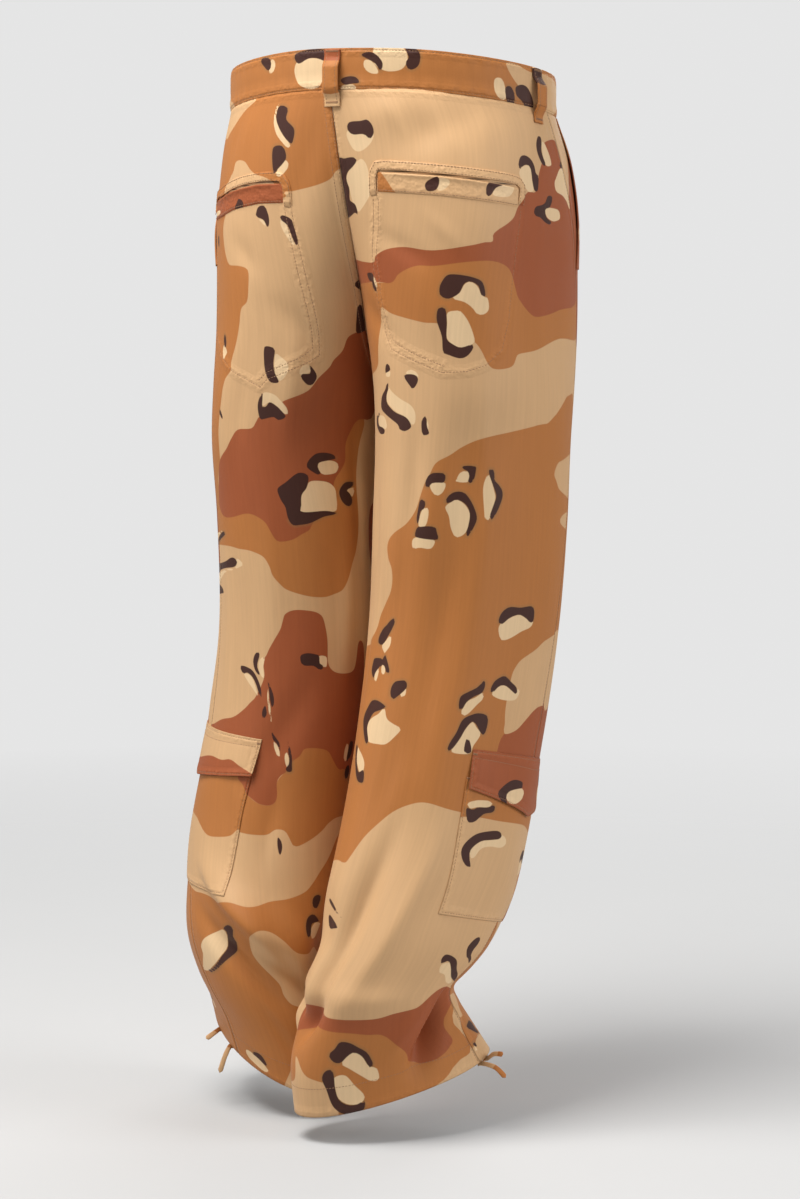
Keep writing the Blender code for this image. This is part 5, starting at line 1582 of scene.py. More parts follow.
for side in (LEFT, RIGHT):
    name = f"back_welt_{side_name(side)}"
    points, u, v = welt_grid(side)
    # The lip of the welt strip is painted with the slit's shadow as well.
    slit = slit_shade_mark(side, u, v + WELT_SLIT_SHADE_DOWN) - WELT_SLIT_SHADE_LESS
    marks = printed(WELT_CHARTS[side], u, v, WELT_RIM, slit)
    make_cloth(f"{name}_strip", points, u, v, marks, -side, PATCH_WALL, name)
    points, u, v = frame_grid(side)
    marks = printed(CHARTS[side, True], u, v, FRAME_RIM)
    make_cloth(f"{name}_frame", points, u, v, marks, side, PATCH_WALL)

# %% [markdown]
# ## Cargo pockets and flaps
#
# A large patch pocket sits over each side seam below the knee, under a flap with a
# pointed lower edge. Both are cut apart from the leg, so their print doesn't follow
# it: each has its own small chart. The patch is pressed flat at its sewn edges and
# swells a little between them; the flap hangs free along its lower edge.

# %% Cargo pockets and flaps
POCKET_HALF_WIDTH = 0.085
POCKET_TOP = 0.680
POCKET_HEIGHT = 0.124
POCKET_BULGE = 0.0016
POCKET_BACK = {LEFT: 0.0, RIGHT: 0.005}
POCKET_TILT = {LEFT: (-7.0, -5.0), RIGHT: (0.0, 3.5)}
FLAP_TILT = {LEFT: (-7.0, -6.0), RIGHT: (0.0, 0.0)}
FLAP_HALF_WIDTH = 0.088
FLAP_TOP = 0.653
FLAP_SIDE_HEIGHT = 0.038
FLAP_POINT_HEIGHT = {LEFT: 0.050, RIGHT: 0.056}
FLAP_STAND = 0.0032
FLAP_SIDE_CALM = 0.3
DENT_DEEP, DENT_WAVES = 0.0009, (62, 31)
FLAP_WAVE, FLAP_WAVES = 0.0008, (75, 1.3)
POCKET_CHARTS = {
    RIGHT: {
        "brown": ((70,680, 290,680, 290,722, 240,726, 190,718, 160,717, 133,717, 103,716, 70,716),
                  (214,764, 240,754, 290,756, 290,820, 240,820, 220,790)),
        "rust": ((212,816, 216,796, 228,790, 240,796, 250,820),),
        "dark": (
            (90,709, 97,710, 103,707, 114,706, 121,703, 124,706, 121,710, 112,712, 107,716, 103,720,
             97,722, 93,719),
            (97,748, 99,740, 107,732, 119,728, 134,726, 141,729, 139,733, 128,735, 117,737, 110,742,
             107,748, 110,755, 114,761, 109,761, 102,756),
            (200,748, 208,741, 220,742, 226,750, 220,754, 212,749, 204,753),
        ),
        "cream": (
            (91,704, 99,701, 107,700, 115,700, 120,703, 113,706, 102,707, 95,709, 91,707),
            (110,753, 107,747, 110,742, 117,737, 128,735, 139,732, 141,729, 149,732, 151,737, 144,741,
             130,741, 119,744, 114,753),
            (204,754, 212,750, 220,755, 216,764, 207,763),
        ),
    },
    LEFT: {
        "brown": ((10,670, 214,670, 214,744, 170,744, 130,730, 100,734, 88,740, 77,747, 66,751, 50,751,
                   37,749, 29,743, 20,746, 10,749),),
        "rust": ((10,670, 31,690, 25,700, 21,708, 14,715, 4,718),
                 (140,812, 150,782, 176,770, 214,776, 214,812)),
        "dark": (
            (156,752, 166,748, 174,754, 168,758, 160,758),
        ),
        "cream": (
            (158,759, 168,759, 168,768, 160,768),
        ),
    },
}
FLAP_CHARTS = {
    RIGHT: {
        "rust": ((70,640, 290,640, 290,720, 70,720),),
        "brown": ((131,700, 144,699, 167,694, 200,694, 260,696, 260,730, 131,730),),
        "dark": (
            (122,692, 125,687, 133,681, 143,677, 155,677, 161,679, 161,683, 146,686, 137,689, 134,694,
             136,700, 131,700, 125,696),
            (212,672, 222,668, 232,674, 236,684, 228,682, 220,678),
        ),
        "cream": (
            (134,691, 143,686, 161,684, 165,688, 161,694, 150,699, 140,699, 134,695),
            (214,680, 222,679, 230,684, 226,692, 216,690),
        ),
    },
    LEFT: {
        "rust": ((6,696, 14,689, 29,681, 41,675, 54,676, 74,673, 101,676, 118,678, 150,690, 230,694,
                  230,730, 6,730),),
        "brown": ((120,640, 150,652, 170,676, 230,680, 230,640),),
        "dark": ((134,664, 142,658, 152,662, 150,668, 142,666),),
        "cream": ((136,668, 144,667, 150,670, 146,677, 138,676),),
    },
}


def column_step(side, drop, rear):
    """Distance between two of the frame's 15 columns, measured round the leg."""
    row = sections(side, np.array(drop))
    depth = row["rear"] if rear else row["front"]
    span = inner_edge(side, np.array(drop), rear) - side_seam(side, np.array(drop))
    return abs(float(span)) * 0.5 * float(row["wide"] + depth) / CAD_COLUMNS


def patch_place(side, drop, from_seam):
    """Column places at distances from the side seam, plus to the back."""
    back = from_seam / column_step(side, drop, True)
    front = from_seam / column_step(side, drop, False)
    return np.where(from_seam > 0, back, front)


def tilted(across, down, tilt):
    """A patch leaning about its upper back corner: its sides and its level lines, in degrees."""
    sides, levels = np.radians(tilt)
    from_back = across.max() - across
    return across + down * math.sin(sides), down + from_back * math.sin(levels)


def pocket_grid(side):
    """The patch: sewn edges pressed down, a soft swelling between, and a few flat dents."""
    middle = POCKET_TOP + POCKET_HEIGHT / 2
    across = edge_lines(2 * POCKET_HALF_WIDTH)[None, :]
    down = edge_lines(POCKET_HEIGHT)[:, None]
    share = 2 * across / across.max() - 1
    edge = np.minimum(np.minimum(across, across.max() - across), POCKET_HEIGHT - down)
    bulge = POCKET_BULGE * (1 - share**4) * np.sin(math.pi * down / POCKET_HEIGHT)
    waves = np.sin(across * DENT_WAVES[0] + down * DENT_WAVES[1] + side)
    dent = DENT_DEEP * waves * np.sin(math.pi * down / POCKET_HEIGHT)
    out = PATCH_OUT + bulge + dent * (1 - share**2) + sewn_edge(edge, SEWN_ROWS[:1])
    across, down = tilted(across, down, POCKET_TILT[side])
    from_seam = across - POCKET_HALF_WIDTH + POCKET_BACK[side]
    drop = POCKET_TOP + down
    points, u = on_panels(side, drop, patch_place(side, middle, from_seam), out)
    return points, u, drop, edge


def flap_grid(side):
    """The flap: sides 38 mm long, a point of 56 mm, rising over the pocket and standing off it."""
    across = edge_lines(2 * FLAP_HALF_WIDTH)[None, :]
    share = np.abs(2 * across / across.max() - 1)
    length = FLAP_SIDE_HEIGHT + (FLAP_POINT_HEIGHT[side] - FLAP_SIDE_HEIGHT) * (1 - share)
    down = edge_lines(FLAP_SIDE_HEIGHT)[:, None] / FLAP_SIDE_HEIGHT
    edge = np.minimum(np.minimum(across, across.max() - across), length * (1 - down))
    turned, fall = tilted(across, length * down, FLAP_TILT[side])
    drop = FLAP_TOP + fall
    place = patch_place(side, FLAP_TOP + FLAP_SIDE_HEIGHT / 2, turned - FLAP_HALF_WIDTH)
    edge = np.minimum(edge, length * down)
    rise = smooth_step(length * down / (POCKET_TOP - FLAP_TOP - PATCH_WALL))
    lift = FLAP_STAND * down**2 * (1 - FLAP_SIDE_CALM * share)
    wave = FLAP_WAVE * np.sin(across * FLAP_WAVES[0] + FLAP_WAVES[1] * side) * down**2
    points, u = on_panels(side, drop, place, PATCH_OUT * (1 + rise) + lift + wave + sewn_edge(edge))
    return points, u, drop, edge


def sew_on(name, grid, chart, outside, wall=PATCH_WALL, shift=0.0, **other_marks):
    """Print and show one sewn piece of the frame; its points and normals serve the stitches."""
    points, u, drop, edge = grid
    v = 1000 * np.broadcast_to(drop, u.shape)
    marks = printed(chart, u + shift, v, 1000 * edge) | other_marks
    make_cloth(f"{name}_cloth", points, u, v, marks, outside, wall, name)
    return points, grid_normals(points, outside)


patches = {}
for side in (LEFT, RIGHT):
    for kind, maker, charts in (("pocket", pocket_grid, POCKET_CHARTS), ("flap", flap_grid, FLAP_CHARTS)):
        name = f"cargo_{kind}_{side_name(side)}"
        patches[kind, side] = sew_on(name, maker(side), charts[side], side)

# %% [markdown]
# ## Front pockets and fly
#
# The front pockets are slanted openings with a folded edge that stands slightly
# open. The fly is a curved double layer beside the centre front, stitched in the
# shape of a J. Both are plain, because little of them shows from behind.

# %% Pocket mouths and fly
MOUTH_TOP_IN = 0.044
MOUTH_LENGTH = 0.160
MOUTH_EDGE_WIDTH = 0.026
MOUTH_STAND = 0.0022
MOUTH_START = 0.008
MOUTH_ROWS = 64
FLY_LENGTH = 0.170
FLY_CURVE = 0.045
FLY_START = 0.004
FLY_ROWS = 66
FLY_REACH = (0.10, 2.55)
FLY_WIDTH = 0.038
FLY_COLUMNS = 24
FLY_SHIFT = 14.0
MOUTH_FALL, MOUTH_FALL_FROM = 0.0012, 0.75


def mouth_grid(side):
    """The folded edge: from the waist to the side seam, open by a low arch along its length."""
    down = np.linspace(MOUTH_START, 1, MOUTH_ROWS)[:, None]
    across = edge_lines(MOUTH_EDGE_WIDTH, 0.003)[None, :]
    share = across / MOUTH_EDGE_WIDTH
    drop = WAIST_DROP + MOUTH_LENGTH * down
    row = sections(side, drop)
    round_leg = 0.5 * (row["wide"] + row["front"])
    distance = PATCH_WALL + MOUTH_TOP_IN * (1 - down) + across
    start = side_seam(side, drop)
    span = inner_edge(side, drop, False) - start
    place = (-distance / round_leg) / span * CAD_COLUMNS
    stand = MOUTH_STAND * (1 - share) * np.sin(math.pi * down)
    blend = -MOUTH_FALL * smooth_step((share - MOUTH_FALL_FROM) / (1 - MOUTH_FALL_FROM))
    points, u = on_panels(side, drop, -place, PATCH_OUT + stand + blend + sewn_edge(across))
    return points, u, drop, across


def fly_grid():
    """The fly's layer: columns beside the centre front, its lower end cut along a quarter ellipse."""
    across = np.linspace(*FLY_REACH, FLY_COLUMNS)[None, :]
    share = (across - FLY_REACH[0]) / (FLY_REACH[1] - FLY_REACH[0])
    length = FLY_LENGTH - FLY_CURVE * (1 - np.sqrt(1 - share**2))
    down = np.linspace(FLY_START, 1, FLY_ROWS)[:, None]
    drop = WAIST_DROP + length * down
    edge = np.minimum((1 - share) * FLY_WIDTH, length * (1 - down))
    points, u = on_panels(LEFT, drop, -(CAD_COLUMNS - across), PATCH_GAP + PATCH_OUT + sewn_edge(edge))
    return points, u, drop, edge


for side in (LEFT, RIGHT):
    name = f"front_pocket_edge_{side_name(side)}"
    chart = CHARTS[side, False]
    patches["mouth", side] = sew_on(name, mouth_grid(side), chart, -side, brown=FAR_OFF)
patches["fly", LEFT] = sew_on("fly", fly_grid(), CHARTS[LEFT, False], LEFT, shift=FLY_SHIFT)

# %% [markdown]
# ## Waistband, belt loops and button
#
# The band is a doubled strip that laps over itself at the front, edge-stitched along
# top and bottom. The loops are narrow folded strips that bow out over it, closed at
# both ends with a bar tack. The button is turned horn with a sunk middle and four
# holes, made as a profile carried round its axis.

# %% Waistband
BAND_HEIGHT = 0.038
BAND_WALL = 0.0028
BAND_BOW = 0.0008
BAND_LAP = 0.042
BAND_UNDER = -0.0014
BAND_PROUD = 0.0010
LAP_RAMP, LAP_PAST = 0.45, 1.1
BAND_COLUMNS = 420
RIPPLE_HIGH, RIPPLE_WAVES, RIPPLE_IN = 0.00025, (61, 1.7, 7), 0.006
PROUD_FROM, PROUD_FADE = 0.004, 0.010
BAND_CHART = {
    "brown": ((-540,-10, 540,-10, 540,50, -540,50),),
    "rust": (
        (300,-8, 360,-8, 376,20, 350,46, 310,40),
        (-420,-8, -370,-8, -360,30, -400,46, -440,30),
    ),
    "sand": (
        (-190,22, -176,24, -166,30, -152,36, -148,46, -190,46),
        (176,3, 190,2, 206,6, 232,4, 270,8, 280,24, 262,36, 236,44, 214,44, 200,30, 184,16),
        (-330,-8, -280,-8, -262,14, -280,44, -330,44),
        (400,20, 430,8, 460,20, 450,46, 406,46),
    ),
    "dark": (
        (-87,2, -80,2, -73,5, -72,12, -76,15, -82,11, -87,6),
        (-40,4, -30,1, -15,0, -3,3, -4,12, -14,9, -24,9, -34,13, -39,10),
        (33,7, 39,4, 47,6, 54,14, 52,22, 47,15, 40,11),
        (76,0, 86,0, 90,6, 88,16, 80,20, 76,14, 79,8),
        (12,30, 20,27, 28,28, 31,33, 24,34, 16,35),
        (175,26, 181,24, 185,30, 185,40, 178,40, 175,34),
        (187,24, 195,20, 203,22, 209,30, 211,40, 203,43, 195,36, 188,32),
        (-236,8, -226,4, -216,10, -220,18, -230,16),
        (300,10, 310,6, 318,14, 312,20, 304,18),
        (-470,12, -458,8, -450,16, -458,22, -468,20),
    ),
    "cream": (
        (-38,12, -28,9, -16,9, -5,13, -6,26, -11,36, -22,38, -34,33, -40,22),
        (-72,5, -67,7, -66,13, -70,18, -76,17, -72,12),
        (36,12, 42,12, 47,17, 50,24, 42,24, 36,19),
        (45,0, 60,-3, 74,0, 78,10, 72,20, 58,22, 48,16),
        (13,36, 26,35, 26,42, 14,42),
        (163,20, 170,18, 174,24, 175,37, 168,37, 163,31),
        (-234,18, -220,19, -218,28, -230,30),
        (302,20, 314,21, 312,30, 302,28),
        (-468,23, -456,24, -456,33, -466,32),
    ),
}


def waist_point(angle, height, out=0.0):
    """Point on the waistband's face: an ellipse round the body, moved out along its normal."""
    row = sections(LEFT, WAIST_DROP)
    cosine, sine = np.cos(angle), np.sin(angle)
    depth = np.where(sine > 0, row["rear"], row["front"])
    normal = unit(np.stack([cosine / row["wide"], sine / depth], axis=-1))
    x = row["wide"] * cosine + normal[..., 0] * out
    y = depth * sine + normal[..., 1] * out
    z = row["tilt"] * depth * sine + height - WAIST_DROP - waist_dip(x, y, WAIST_DROP)
    return np.stack([x, y, z], axis=-1)


def band_grid():
    """An open ring that laps at the centre front, its left end outside; U runs from the back."""
    lap_angle = BAND_LAP / float(sections(LEFT, WAIST_DROP)["wide"])
    start = -math.pi / 2 - lap_angle * 0.5
    angle = np.linspace(start, start + 2 * math.pi + lap_angle, BAND_COLUMNS)[None, :]
    into_lap = smooth_step((start + lap_angle * (LAP_PAST + LAP_RAMP) - angle) / (lap_angle * LAP_RAMP))
    lift = (BAND_WALL + 2 * SEAM_GAP) * into_lap
    height = BAND_UNDER + edge_lines(BAND_HEIGHT - BAND_UNDER)[::-1, None]
    from_edge = np.minimum(BAND_HEIGHT - height, height - BAND_UNDER)
    bow = BAND_BOW * np.sin(math.pi * (height / BAND_HEIGHT))
    wave = np.sin(angle * RIPPLE_WAVES[0] + RIPPLE_WAVES[1] * np.sin(angle * RIPPLE_WAVES[2]))
    ripple = RIPPLE_HIGH * wave * bell(from_edge - RIPPLE_IN, RIPPLE_IN)
    proud = BAND_PROUD * (1 - smooth_step((height - PROUD_FROM) / PROUD_FADE))
    out = lift + bow + ripple + proud + sewn_edge(from_edge, SEWN_ROWS[:1])
    points = waist_point(np.broadcast_to(angle, out.shape), height, out)
    along = lengths_along(points[0])
    u = 1000 * (along - np.interp(math.pi / 2, angle[0], along))
    return points, np.broadcast_to(u[None, :], out.shape), BAND_HEIGHT - height, from_edge


patches["band", 0] = sew_on("waistband", band_grid(), BAND_CHART, 1, BAND_WALL)

# %% Belt loops
LOOP_WIDTH = 0.015
LOOP_WALL = 0.0018
LOOP_BELOW_BAND = 0.017
LOOP_TOP_IN = 0.001
LOOP_FOOT = 0.006
LOOP_BEND = 0.22
LOOP_ROUND = 0.150
LOOP_STEPS = 56
LOOP_ACROSS = 13
LOOP_CROWN, LOOP_SUNK = 0.0007, 0.0005
LOOP_DIP = (0.0003, 0.72, 0.12)  # depth in m, place and spread in shares of half the width
LOOP_DRAWN_IN = 0.05
LOOP_CHART_HALF = 8.0
LOOP_RIM = 0.007
LOOP_ROWS = {
    "belt_loop_back": (91.2, 0.0052),
    "belt_loop_left": (5, 0.0056),
    "belt_loop_right": (171, 0.0064),
    "belt_loop_front_left": (-67, 0.0072),
    "belt_loop_front_right": (-113, 0.0072),
}
LOOP_CHARTS = {
    "belt_loop_back": {
        "brown": ((-20,-10, 20,-10, 20,37, -20,37),),
        "rust": ((-20,-10, 20,-10, 20,9, 6,11, -20,8),),
    },
    "belt_loop_right": {
        "brown": ((-20,18, 20,16, 20,70, -20,70),),
        "dark": ((-12,2, 2,0, 12,4, 10,13, -2,16, -12,12),),
        "cream": ((-12,-8, 12,-8, 12,1, -12,1),),
    },
    "belt_loop_left": {"brown": ((-20,-10, 20,-10, 20,70, -20,70),)},
    "belt_loop_front_left": {"rust": ((-20,-10, 20,-10, 20,70, -20,70),)},
    "belt_loop_front_right": {"brown": ((-20,20, 20,30, 20,70, -20,70),)},
}
AROUND = np.linspace(-math.pi, math.pi, 1441)


def under_band(points, drop, out):
    """Places of the cloth below points of the band: the seat's place in the same direction."""
    side = LEFT if points[..., 0].mean() >= 0 else RIGHT
    ring = bare_point(side, drop[..., None], AROUND)
    heading = np.arctan2(ring[..., 1], ring[..., 0]) - np.arctan2(points[..., 1], points[..., 0])[..., None]
    nearest = np.argmin(np.abs((heading + math.pi) % (2 * math.pi) - math.pi), axis=-1)
    return cloth_point(side, drop, AROUND[nearest], out)


def loop_grid(waist_angle, clear):
    """A strip from the band's top, bowed out over it, to its foot below the waist seam."""
    up = np.linspace(1, 0, LOOP_STEPS)[:, None]
    top, foot = BAND_HEIGHT - LOOP_TOP_IN, -LOOP_BELOW_BAND
    height = foot + (top - foot) * up
    seated = LOOP_FOOT / (top - foot)
    bow = smooth_step((up - seated) / LOOP_BEND) * smooth_step((1 - seated - up) / LOOP_BEND)
    across = np.linspace(-1, 1, LOOP_ACROSS)[None, :]
    crown = LOOP_CROWN * (1 - across**4) - LOOP_DIP[0] * bell(np.abs(across) - LOOP_DIP[1], LOOP_DIP[2])
    out = 2 * SEAM_GAP + LOOP_WALL + clear * bow + crown - LOOP_SUNK
    turn = LOOP_WIDTH / 2 / LOOP_ROUND * across * (1 - LOOP_DRAWN_IN * bow)
    points = waist_point(waist_angle + turn, np.broadcast_to(height, out.shape), out)
    below = np.flatnonzero(height[:, 0] < 0)
    drop = np.broadcast_to(WAIST_DROP - height[below], (len(below), LOOP_ACROSS))
    points[below] = under_band(points[below], drop, out[below])
    return points, np.broadcast_to(across * LOOP_CHART_HALF, out.shape), top - height, LOOP_RIM


loops = {}
for name, (degrees, clear) in LOOP_ROWS.items():
    grid = loop_grid(math.radians(degrees), clear)
    loops[name] = sew_on(name, grid, LOOP_CHARTS[name], 1, LOOP_WALL)

# %% [markdown]
# ## Hem turns
#
# Each hem is turned 22 mm to the inside and stitched, so its inner layer shows the
# printed face again, upside down. It is a narrow band that follows the last rows of
# each panel, a wall's thickness further in. Folding the panel's own grid round the
# edge would make the same form, with a sharper fold than real twill makes.

# %% Hem turns
TURN_HEIGHT = 0.022
TURN_GAP = 0.0002
TURN_WALL = 0.0007
hem_turns = {}
for (side, rear), panel in panels.items():
    rows = panel["drops"] >= HEM_DROP - TURN_HEIGHT
    u = panel["u"][rows]
    drop = np.broadcast_to(panel["drops"][rows, None], u.shape)
    points = panel["points"][rows] - panel["normals"][rows] * (WALL + TURN_GAP)
    rim = 1000 * (drop - HEM_DROP + TURN_HEIGHT)
    marks = printed(CHARTS[side, rear], u, 1000 * (2 * HEM_DROP - drop), rim)
    inwards = -side if rear else side
    name = f"hem_turn_{panel_name(side, rear)}"
    hem_turns[side, rear] = make_cloth(name, points, u, 1000 * drop, marks, inwards, TURN_WALL)

# %% [markdown]
# ## Ties
#
# The flat ends at the ankles are narrow bands of the same twill, folded lengthwise.
# They carry a cream and brown part of the print, which a slow change of the brown
# mark along the band stands for.

# %% Ties
TIE_GIRTH = 0.011
TIE_RIM = 8.0
TIE_BROWN = 5.2
for turn, (name, route) in enumerate(tie_routes.items()):
    length = float(lengths_along(route)[-1])
    along = np.linspace(0, 1, len(route))[:, None] * np.ones(TIE_RING)
    round_tie = np.linspace(0, TIE_GIRTH, TIE_RING) * np.ones((len(route), 1))
    tie_marks = printed({}, round_tie, along, TIE_RIM) | {"brown": FAR_OFF * np.sin(along * TIE_BROWN + turn)}
    chart = np.stack([round_tie, -along * length], axis=-1)
    tie = show(f"{name}_band", grid_mesh(name, flat_strip(route), chart, tie_marks, closed=True), camouflage)
    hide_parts(name)
print("ties:", len(tie_routes))

# %% [markdown]
# ## Button
#
# A trouser button of pale horn: a rounded rim, a sunk middle and four holes. Its
# height is a function of radius and angle on a polar grid, carried round over the
# edge to a flat back. Boolean cuts would make cleaner holes, but at this size a
# steep dip reads the same and keeps the mesh in quads.

# %% Button
BUTTON_RADIUS = 0.0085
BUTTON_THICKNESS = 0.0028
HOLE_PLACE = 0.0019
HOLE_RADIUS = 0.00085
HOLE_DEPTH = 0.0013
DISH_DEPTH, DISH_FROM, DISH_FADE = 0.0008, 0.55, 0.12
RIM_RISE, RIM_FROM, RIM_FADE = 0.0002, 0.60, 0.2
BUTTON_TURNS = 96
HORN_DARK = (0.30, 0.20, 0.12, 1)
HORN_PALE = (0.52, 0.40, 0.27, 1)


def button_points():
    """Polar grid of the button: front from the centre to the rim, then back to the centre."""
    front = np.linspace(0.00002, 0.94, 40) * BUTTON_RADIUS
    edge = math.pi / 2 * np.linspace(-1, 1, 9)
    roll = BUTTON_THICKNESS / 2
    radius = np.concatenate([front, BUTTON_RADIUS - roll + roll * np.cos(edge), [0.00001]])
    sunk = DISH_DEPTH * (1 - smooth_step((front / BUTTON_RADIUS - DISH_FROM) / DISH_FADE))
    rise = RIM_RISE * smooth_step((front / BUTTON_RADIUS - RIM_FROM) / RIM_FADE) - sunk
    height = np.concatenate([roll + rise - RIM_RISE, -roll * np.sin(edge), [-roll]])
    turn = np.linspace(0, 2 * math.pi, BUTTON_TURNS, endpoint=False)
    across, up = radius[:, None] * np.cos(turn), radius[:, None] * np.sin(turn)
    hole = np.hypot(np.abs(across) - HOLE_PLACE, np.abs(up) - HOLE_PLACE)
    dip = HOLE_DEPTH * (1 - smooth_step((hole - HOLE_RADIUS * 0.8) / (HOLE_RADIUS * 0.4)))
    depth = height[:, None] - dip * (height > 0)[:, None]
    return np.stack([across, -depth, up], axis=-1)


horn = Recipe("horn")
horn_grain = horn.grain(260.0, 4.0)
horn_material = horn.finish(
    Base_Color=horn.mix(horn_grain.ramp(0.35, 0.65), HORN_DARK, HORN_PALE),
    Roughness=0.28 + horn_grain * 0.12,
    Normal=horn.bump(horn_grain, 0.0001),
)
button_seat = waist_point(
    np.array(-math.pi / 2), BAND_HEIGHT / 2, BAND_WALL + 4 * SEAM_GAP + BAND_BOW + BUTTON_THICKNESS / 2
)
button = show("button", grid_mesh("button", button_points() + button_seat, closed=True), horn_material)
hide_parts("waist_button")

# %% [markdown]
# ## Stitches
#
# Every seam is topstitched: short threads that lie in the cloth, about eight in an
# inch. Each stitch is one small capsule of six sides, and whole rows of them are
# worked out at once: a row is a line on the cloth, cut into equal steps. A dashed
# texture would be lighter, but it has no thickness where the light grazes it.

# %% Stitch rows
STITCH_PITCH = 0.0032
STITCH_LENGTH = 0.0024
STITCH_RADIUS = 0.00028
STITCH_SUNK = 0.00004
CAPSULE_PLACES = np.array([-0.5, -0.36, 0.36, 0.5])
CAPSULE_RADII = np.array([0.45, 1.0, 1.0, 0.45])
CAPSULE_SIDES = 6
CAPSULE_ARCH = 0.6
CHART_STEP = 1.5
sewn_rows = {}


def stitch_row(kind, points, normals, pitch=STITCH_PITCH, turned=False):
    """Add the stitches of one line: centre, heading and up of each, at even steps of length."""
    along = lengths_along(points)
    centres = np.arange(pitch / 2, along[-1], pitch)
    place = np.interp(centres, along, np.arange(len(points)))[:, None]
    both = np.concatenate([points, normals, np.gradient(points, axis=0)], axis=-1)[:, None, :]
    found = sample(np.concatenate([both, both], axis=1), place, np.zeros_like(place))[:, 0]
    up = unit(found[:, 3:6])
    ahead = unit(found[:, 6:9])
    ahead = np.cross(up, ahead) if turned else ahead
    sewn_rows.setdefault(kind, []).append(np.stack([found[:, :3], ahead, up], axis=1))


def sew(name, rows, material):
    """Mesh of all stitches of some rows: rings of six at four places along each capsule."""
    stitches = np.concatenate(rows)
    centre, ahead, up = stitches[:, 0], stitches[:, 1], stitches[:, 2]
    aside = np.cross(ahead, up)
    turn = np.linspace(0, 2 * math.pi, CAPSULE_SIDES, endpoint=False)
    ring = aside[:, None] * np.cos(turn)[:, None] + up[:, None] * np.sin(turn)[:, None]
    reach = ahead[:, None, None] * (CAPSULE_PLACES * STITCH_LENGTH)[:, None, None]
    body = ring[:, None] * (CAPSULE_RADII * STITCH_RADIUS)[:, None, None]
    arch = -CAPSULE_ARCH * STITCH_RADIUS * (np.abs(CAPSULE_PLACES) > 0.4) - STITCH_SUNK
    points = centre[:, None, None] + reach + body + up[:, None, None] * arch[:, None, None]
    index = np.arange(4 * CAPSULE_SIDES).reshape(4, CAPSULE_SIDES)
    after = np.roll(index, -1, axis=1)
    sides = np.stack([index[:-1], index[1:], after[1:], after[:-1]], axis=-1).reshape(-1, 4)
    caps = np.array([[0, 1, 2, 3], [0, 3, 4, 5], [21, 20, 19, 18], [23, 22, 21, 18]])
    quads = np.concatenate([sides, caps])
    every = quads[None] + (np.arange(len(stitches)) * 4 * CAPSULE_SIDES)[:, None, None]
    show(name, quad_mesh(name, points.reshape(-1, 3), every.reshape(-1, 4)), material)
    print(name, "stitches:", len(stitches))


def chart_row(kind, side, stops, out=0.0):
    """A row of stitches along straight lines between stops on a back panel's chart."""
    stops = np.array(stops, float)
    along = lengths_along(stops)
    where = np.linspace(0, along[-1], max(int(along[-1] / CHART_STEP), 3))
    u, v = np.interp(where, along, stops[:, 0]), np.interp(where, along, stops[:, 1])
    stitch_row(kind, *on_chart(side, u, v, out))


def edge_row(kind, side, rear, inset, first, last, at_seam):
    """A row a fixed distance from a panel's side seam or inner edge, between two drops."""
    panel, values = panels[side, rear], values_of[side, rear]
    rows = np.flatnonzero((panel["drops"] >= first) & (panel["drops"] <= last))
    edge, beside = (0, 1) if at_seam else (-1, -2)
    step = np.abs(panel["to_edge"][rows, beside] - panel["to_edge"][rows, edge])
    place = 1000 * inset / step
    place = place if at_seam else values.shape[1] - 1 - place
    found = sample(values, rows[:, None].astype(float), place[:, None])[:, 0]
    stitch_row(kind, found[:, :3], unit(found[:, 3:6]))


def patch_row(kind, patch, rows, columns, **options):
    """A row of stitches along one line of a patch's grid."""
    points, normals = patch
    stitch_row(kind, points[rows, columns], normals[rows, columns], **options)


# %% Rows on the panels
CENTRE_ROWS = (0.0015, 0.0078)
SEAM_INSET = 0.0016
SEAM_TOP = 0.022
FLY_FOOT = 0.190
SIDE_SPANS = ((SEAM_TOP, 0.680), (0.806, 0.968))
HEM_ROW = HEM_DROP - 0.023
FRAME_ROWS = (-3.0, 3.0)
WELT_ROW_IN, WELT_ROW_OUT = 1.6, 0.0013
for inset in CENTRE_ROWS:
    edge_row("seam", LEFT, True, inset, SEAM_TOP, CROTCH_DROP, False)
    edge_row("seam", LEFT, False, inset, FLY_FOOT, CROTCH_DROP, False)
for side in (LEFT, RIGHT):
    for first, last in SIDE_SPANS:
        edge_row("seam", side, True, SEAM_INSET, first, last, True)
    for rear in (True, False):
        values = values_of[side, rear]
        place = np.interp(HEM_ROW, panels[side, rear]["drops"], np.arange(len(values)))
        columns = np.arange(values.shape[1], dtype=float)[:, None]
        found = sample(values, np.full_like(columns, place), columns)[:, 0]
        stitch_row("hem", found[:, :3], unit(found[:, 3:6]))
for side, lines in BAG_LINES.items():
    for stops in lines:
        chart_row("bag", side, stops)
    stops = np.array(FRAME_STOPS[side], float)
    ahead = unit(np.gradient(stops, axis=0))
    aside = np.stack([ahead[:, 1], -ahead[:, 0]], axis=-1)
    for shift in FRAME_ROWS:
        chart_row("welt", side, stops + aside * shift, FRAME_OUT)
    slit = np.array(SLIT_STOPS[side], float)
    chart_row("welt", side, slit + (0.0, WELT_HEIGHT - WELT_ROW_IN), WELT_ROW_OUT)

